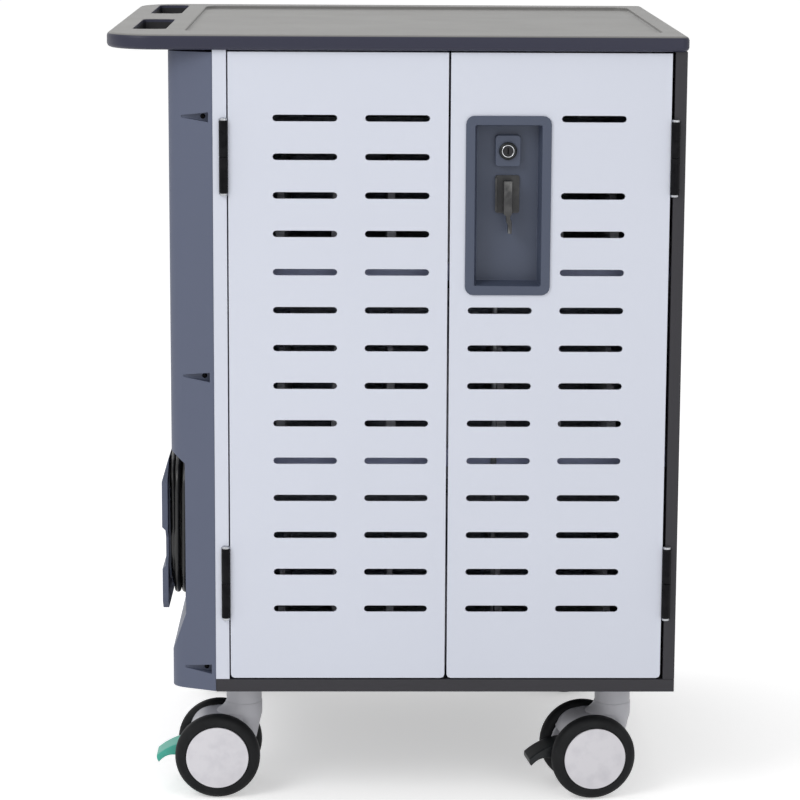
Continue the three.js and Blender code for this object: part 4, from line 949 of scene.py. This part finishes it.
class CART_OT_lock(CartOperator):
    """Finishes the lock cup, the key lock, the latch and its rods"""

    bl_idname = "cart.lock"
    bl_label = "Lock and latch"

    def execute(self, context):
        dress("lock_cup", finish("cup"), 0.0012, 40, 3)
        dress("lock_cylinder", finish("plug"), 0.0003)
        self.bezel()
        dress("latch_plate", finish("latch"), 0.0004)
        self.lever()
        for node in ("latch_cam", "upper_latch_rod", "lower_latch_rod", "rear_lock"):
            dress(node, finish("steel"), 0.0003)
        return {"FINISHED"}

    def bezel(self):
        """A black ring and a bright ring round the key plug: rounded sections turned about its axis."""
        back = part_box("lock_cylinder")[0][1]
        black = [(0.0086, 0.0022), (0.0086, -0.0004), (0.0098, -0.0009), (0.0118, 0.0004), (0.0118, 0.0022)]
        self.ring("lock_bezel", black, back, finish("black"), "right_door", "black_plastic")
        bright = [(0.0070, 0.0012), (0.0070, -0.0007), (0.0078, -0.0012), (0.0085, -0.0005), (0.0085, 0.0012)]
        self.ring("lock_bright_ring", bright, back, finish("chrome"), "right_door", "bare_steel")

    def ring(self, name, section, y, material, body, slot):
        """A section turned about the lock's axis, whose last row joins its first."""
        closed = rounded_profile([*section, section[0]], 0.0005)[:-1]
        segments = 48
        points = revolved(closed, (LATCH_X, y, LOCK_Z), (0, 1, 0), segments)[0]
        faces = grid_faces(len(closed) + 1, segments) % len(points)
        new_piece(name, points, faces, material, body)

    def lever(self):
        """The lever's front outline carried through its depth with rounded edges, and its shaft turned."""
        low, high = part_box("latch_handle")
        half_depth, shaft_start, shaft_radius = 0.0075, 0.014, 0.005
        outline = np.array([
            (0, 35), (5.7, 35), (5.7, -9), (3.4, -12), (3.4, -16), (5.4, -19), (5.4, -35), (0.2, -35),
            (0.2, -24), (-2.2, -19), (-2.2, -12), (-5.7, -9), (-5.7, 35), (0, 35),
        ])
        outline = rounded_profile(outline, 1.4, 4)[:-1] * MM + np.array([LATCH_X, LATCH_Z])
        points, faces = crowned_block(outline, half_depth, 0.0012)
        points[:, 1] += low[1] + half_depth
        new_piece("latch_lever", points, faces, finish("latch"), "latch_handle",
                  ("latch_handle",), flat=True)
        depth = high[1] - low[1]
        shaft = [(POLE, shaft_start), (shaft_radius, shaft_start), (shaft_radius, depth), (POLE, depth)]
        points, faces = revolved(rounded_profile(shaft, 0.0004), (LATCH_X, low[1], LATCH_Z), (0, 1, 0), 32)
        new_piece("latch_shaft", points, faces, finish("latch"), "latch_handle")


class CART_OT_casters(CartOperator):
    """Makes the forks, tyres, hub caps and brake pedals"""

    bl_idname = "cart.casters"
    bl_label = "Casters"

    # The fork in mm: radius and height of the neck, the web's inner and outer radius, and its top
    NECK = (
        (0.1, 58), (10, 58), (17, 74), (22.7, 100), (24.9, 108), (24.9, 110), (38, 111.5), (38, 112.5),
        (31, 117), (26.5, 122), (25, 126), (24.3, 126.6), (24.3, 171), (0.1, 171),
    )
    NECK_RADIUS = 0.025
    FORK_HUB, FORK_RIM = 36, 46.5
    FORK_TOP = ((-36, 112), (0, 112))
    PEDAL_ROOM = ((-58.6, 60), (-58.6, 83.6), (-74.4, 83.6))
    WEB_HALF, CHEEK_HALF, CHEEK_Y = 0.0248, 0.00215, 0.02265

    # A wheel's inner and outer side and bore, and how far the cap's bed, the cap and its dome reach
    WHEEL_SIDES, WHEEL_BORE = (0.0255, 0.0505), 0.0045
    TYRE_ROUND, CAP_BED, CAP_PROUD, CAP_DOME = 0.006, 0.003, 0.0008, 0.0010

    def placed(self, points, corner):
        """Caster points in the part's frame: turned about Z by the caster's angle and moved to its stem."""
        stem_x, stem_y, degrees = STEMS[corner]
        c, s = np.cos(np.radians(degrees)), np.sin(np.radians(degrees))
        x, y, z = np.asarray(points).T
        return np.stack([stem_x + x * c - y * s, stem_y + x * s + y * c, z], axis=1)

    def execute(self, context):
        sizes = context.scene.cart_sizes
        for corner in CORNERS:
            self.fork(corner, corner.startswith("front"))
            dress(f"{corner}_caster_socket", finish("steel"))
            dress(f"{corner}_axle", finish("steel"), 0.0003)
            for wheel, side in (("a", -1), ("b", 1)):
                self.wheel(corner, wheel, side, sizes)
        self.pedal("front_left", finish("green"), "green_plastic")
        self.pedal("front_right", finish("black"), "black_plastic")
        return {"FINISHED"}

    def round_axle(self, radius, start, stop, steps=14):
        """Points on a circle about the axle, in mm, from one angle in degrees to another."""
        a = np.radians(np.linspace(start, stop, steps))
        return np.stack([radius * np.cos(a), radius * np.sin(a)], axis=1) + AXLE

    def fork(self, corner, with_pedal):
        """A neck turned about the swivel axis, and a web whose side outline runs round the axle at the
        wheels' hubs and over the top just inside their rims.

        The neck's flare is kept at the back: its part beyond the neck's radius is scaled by the square of
        the cosine from -X. Where a pedal tips in the fork, the web stops short of it and two cheeks carry
        the rim on.
        """
        body, grey = f"{corner}_caster", finish("grey")
        profile = rounded_profile(np.array(self.NECK) * MM, 0.002)
        points, faces = revolved(profile, (0, 0, 0), (0, 0, 1), 64)
        radius = np.hypot(points[:, 0], points[:, 1])
        back = np.clip(-points[:, 0] / radius, 0, 1) ** 2
        flare = np.maximum(radius - self.NECK_RADIUS, 0) * back
        points[:, :2] *= ((np.minimum(radius, self.NECK_RADIUS) + flare) / radius)[:, None]
        new_piece(f"{corner}_fork_neck", self.placed(points, corner), faces, grey, body,
                  (f"{corner}_caster_fork",))
        hub, rim = self.FORK_HUB, self.FORK_RIM
        front = quadratic((0, 82), (0, 54), self.round_axle(hub, -56, -56, 1)[0])
        crown = quadratic((-75.7, 81.8), (-70, 106), (-50, 110))[1:]
        if with_pedal:
            around = [self.round_axle(hub, -56, -131)[1:], self.PEDAL_ROOM]
            cheek = [self.round_axle(hub, -118, -150), self.round_axle(rim, 197, 148), [(-52, 84)]]
            for letter, side in (("a", -1), ("b", 1)):
                points, faces = crowned_block(np.concatenate(cheek) * MM, self.CHEEK_HALF, 0.0012, 9)
                points[:, 1] += side * self.CHEEK_Y
                new_piece(f"{corner}_fork_cheek_{letter}", self.placed(points, corner), faces, grey, body,
                          flat=True)
        else:
            around = [self.round_axle(hub, -56, -140)[1:], self.round_axle(rim, 200, 152)]
        outline = np.concatenate([front, *around, crown, self.FORK_TOP])
        points, faces = crowned_block(outline * MM, self.WEB_HALF, 0.0035)
        new_piece(f"{corner}_fork_web", self.placed(points, corner), faces, grey, body,
                  (), 40, flat=True)

    def wheel(self, corner, wheel, side, sizes):
        """A tyre and a domed cap turned about the axle; heights run outwards from the caster's middle."""
        r, cap, bore, shoulder = sizes.wheel_radius, sizes.cap_radius, self.WHEEL_BORE, self.TYRE_ROUND
        inner, outer = self.WHEEL_SIDES
        bed, face = outer - self.CAP_BED, outer - 0.0008
        tyre = [(bore, inner), (r - shoulder, inner), (r, inner + shoulder), (r, outer - 0.007),
                (r - shoulder, face), (cap + 0.0008, face), (cap + 0.0004, bed), (bore, bed)]
        axle, out = (AXLE_X, 0, AXLE_Z), (0, side, 0)
        points, faces = revolved(rounded_profile(tyre, 0.0045, 7), axle, out, 72)
        body = f"{corner}_wheel_{wheel}"
        new_piece(f"{body}_tyre", self.placed(points, corner), faces, finish("tyre"), body,
                  (body,))
        u = np.linspace(0, 1, 24)
        dome = np.stack([cap * u, outer + self.CAP_PROUD - self.CAP_DOME * u**4], axis=1)[::-1]
        dome[-1, 0] = POLE
        root = outer - 0.0025
        points, faces = revolved(np.concatenate([[(POLE, root), (cap, root)], dome]), axle, out, 72)
        new_piece(f"{body}_cap", self.placed(points, corner), faces, finish("cap"), body)

    def pedal(self, corner, material, slot):
        """A side outline of two long curves and two ends, carried across with rounded shoulders."""
        heel_top, tip_top, tip_low, sole, heel_low = (8, 3), (-49, -18), (-46, -28), (-17, -20), (8, -8)
        upper = quadratic(heel_top, (-24, 3), tip_top)
        lip = quadratic(tip_top, (-50, -25), tip_low, 7)[1:-1]
        lower = quadratic(tip_low, (-33, -13), sole)
        heel = quadratic(sole, (4, -17), heel_low, 6)[1:]
        outline = np.concatenate([upper, lip, lower, heel]) * MM + np.array(PEDAL_PIVOT)
        points, faces = crowned_block(outline, 0.020, 0.002)
        body = f"{corner}_brake_pedal"
        new_piece(f"{corner}_pedal_paddle", self.placed(points, corner), faces, material, body,
                  (body,), 45, flat=True)


class CART_PT_panel(bpy.types.Panel):
    """Lists the cart's operators and its settings"""

    bl_idname = "CART_PT_panel"
    bl_label = "Laptop charging cart"
    bl_space_type = "VIEW_3D"
    bl_region_type = "UI"
    bl_category = "Cart"

    def draw(self, context):
        for operator in OPERATORS:
            self.layout.operator(operator.bl_idname)
        for group in (context.scene.cart_colours, context.scene.cart_sizes):
            box = self.layout.box()
            for name in group.__annotations__:
                box.prop(group, name)


OPERATORS = (
    CART_OT_stage,
    CART_OT_cord,
    CART_OT_cabinet,
    CART_OT_worktop,
    CART_OT_side_cover,
    CART_OT_hinges,
    CART_OT_screws,
    CART_OT_lock,
    CART_OT_casters,
)
CLASSES = (CartColours, CartSizes, *OPERATORS, CART_PT_panel)


def register():
    for cls in CLASSES:
        bpy.utils.register_class(cls)
    bpy.types.Scene.cart_colours = bpy.props.PointerProperty(type=CartColours)
    bpy.types.Scene.cart_sizes = bpy.props.PointerProperty(type=CartSizes)


def unregister():
    del bpy.types.Scene.cart_sizes
    del bpy.types.Scene.cart_colours
    for cls in reversed(CLASSES):
        bpy.utils.unregister_class(cls)


def main():
    """Registers the add-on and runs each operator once."""
    register()
    bpy.ops.cart.stage()
    bpy.ops.cart.cord()
    bpy.ops.cart.cabinet()
    bpy.ops.cart.worktop()
    bpy.ops.cart.side_cover()
    bpy.ops.cart.hinges()
    bpy.ops.cart.screws()
    bpy.ops.cart.lock()
    bpy.ops.cart.casters()
    bpy.context.view_layer.update()


if __name__ == "__main__":
    main()
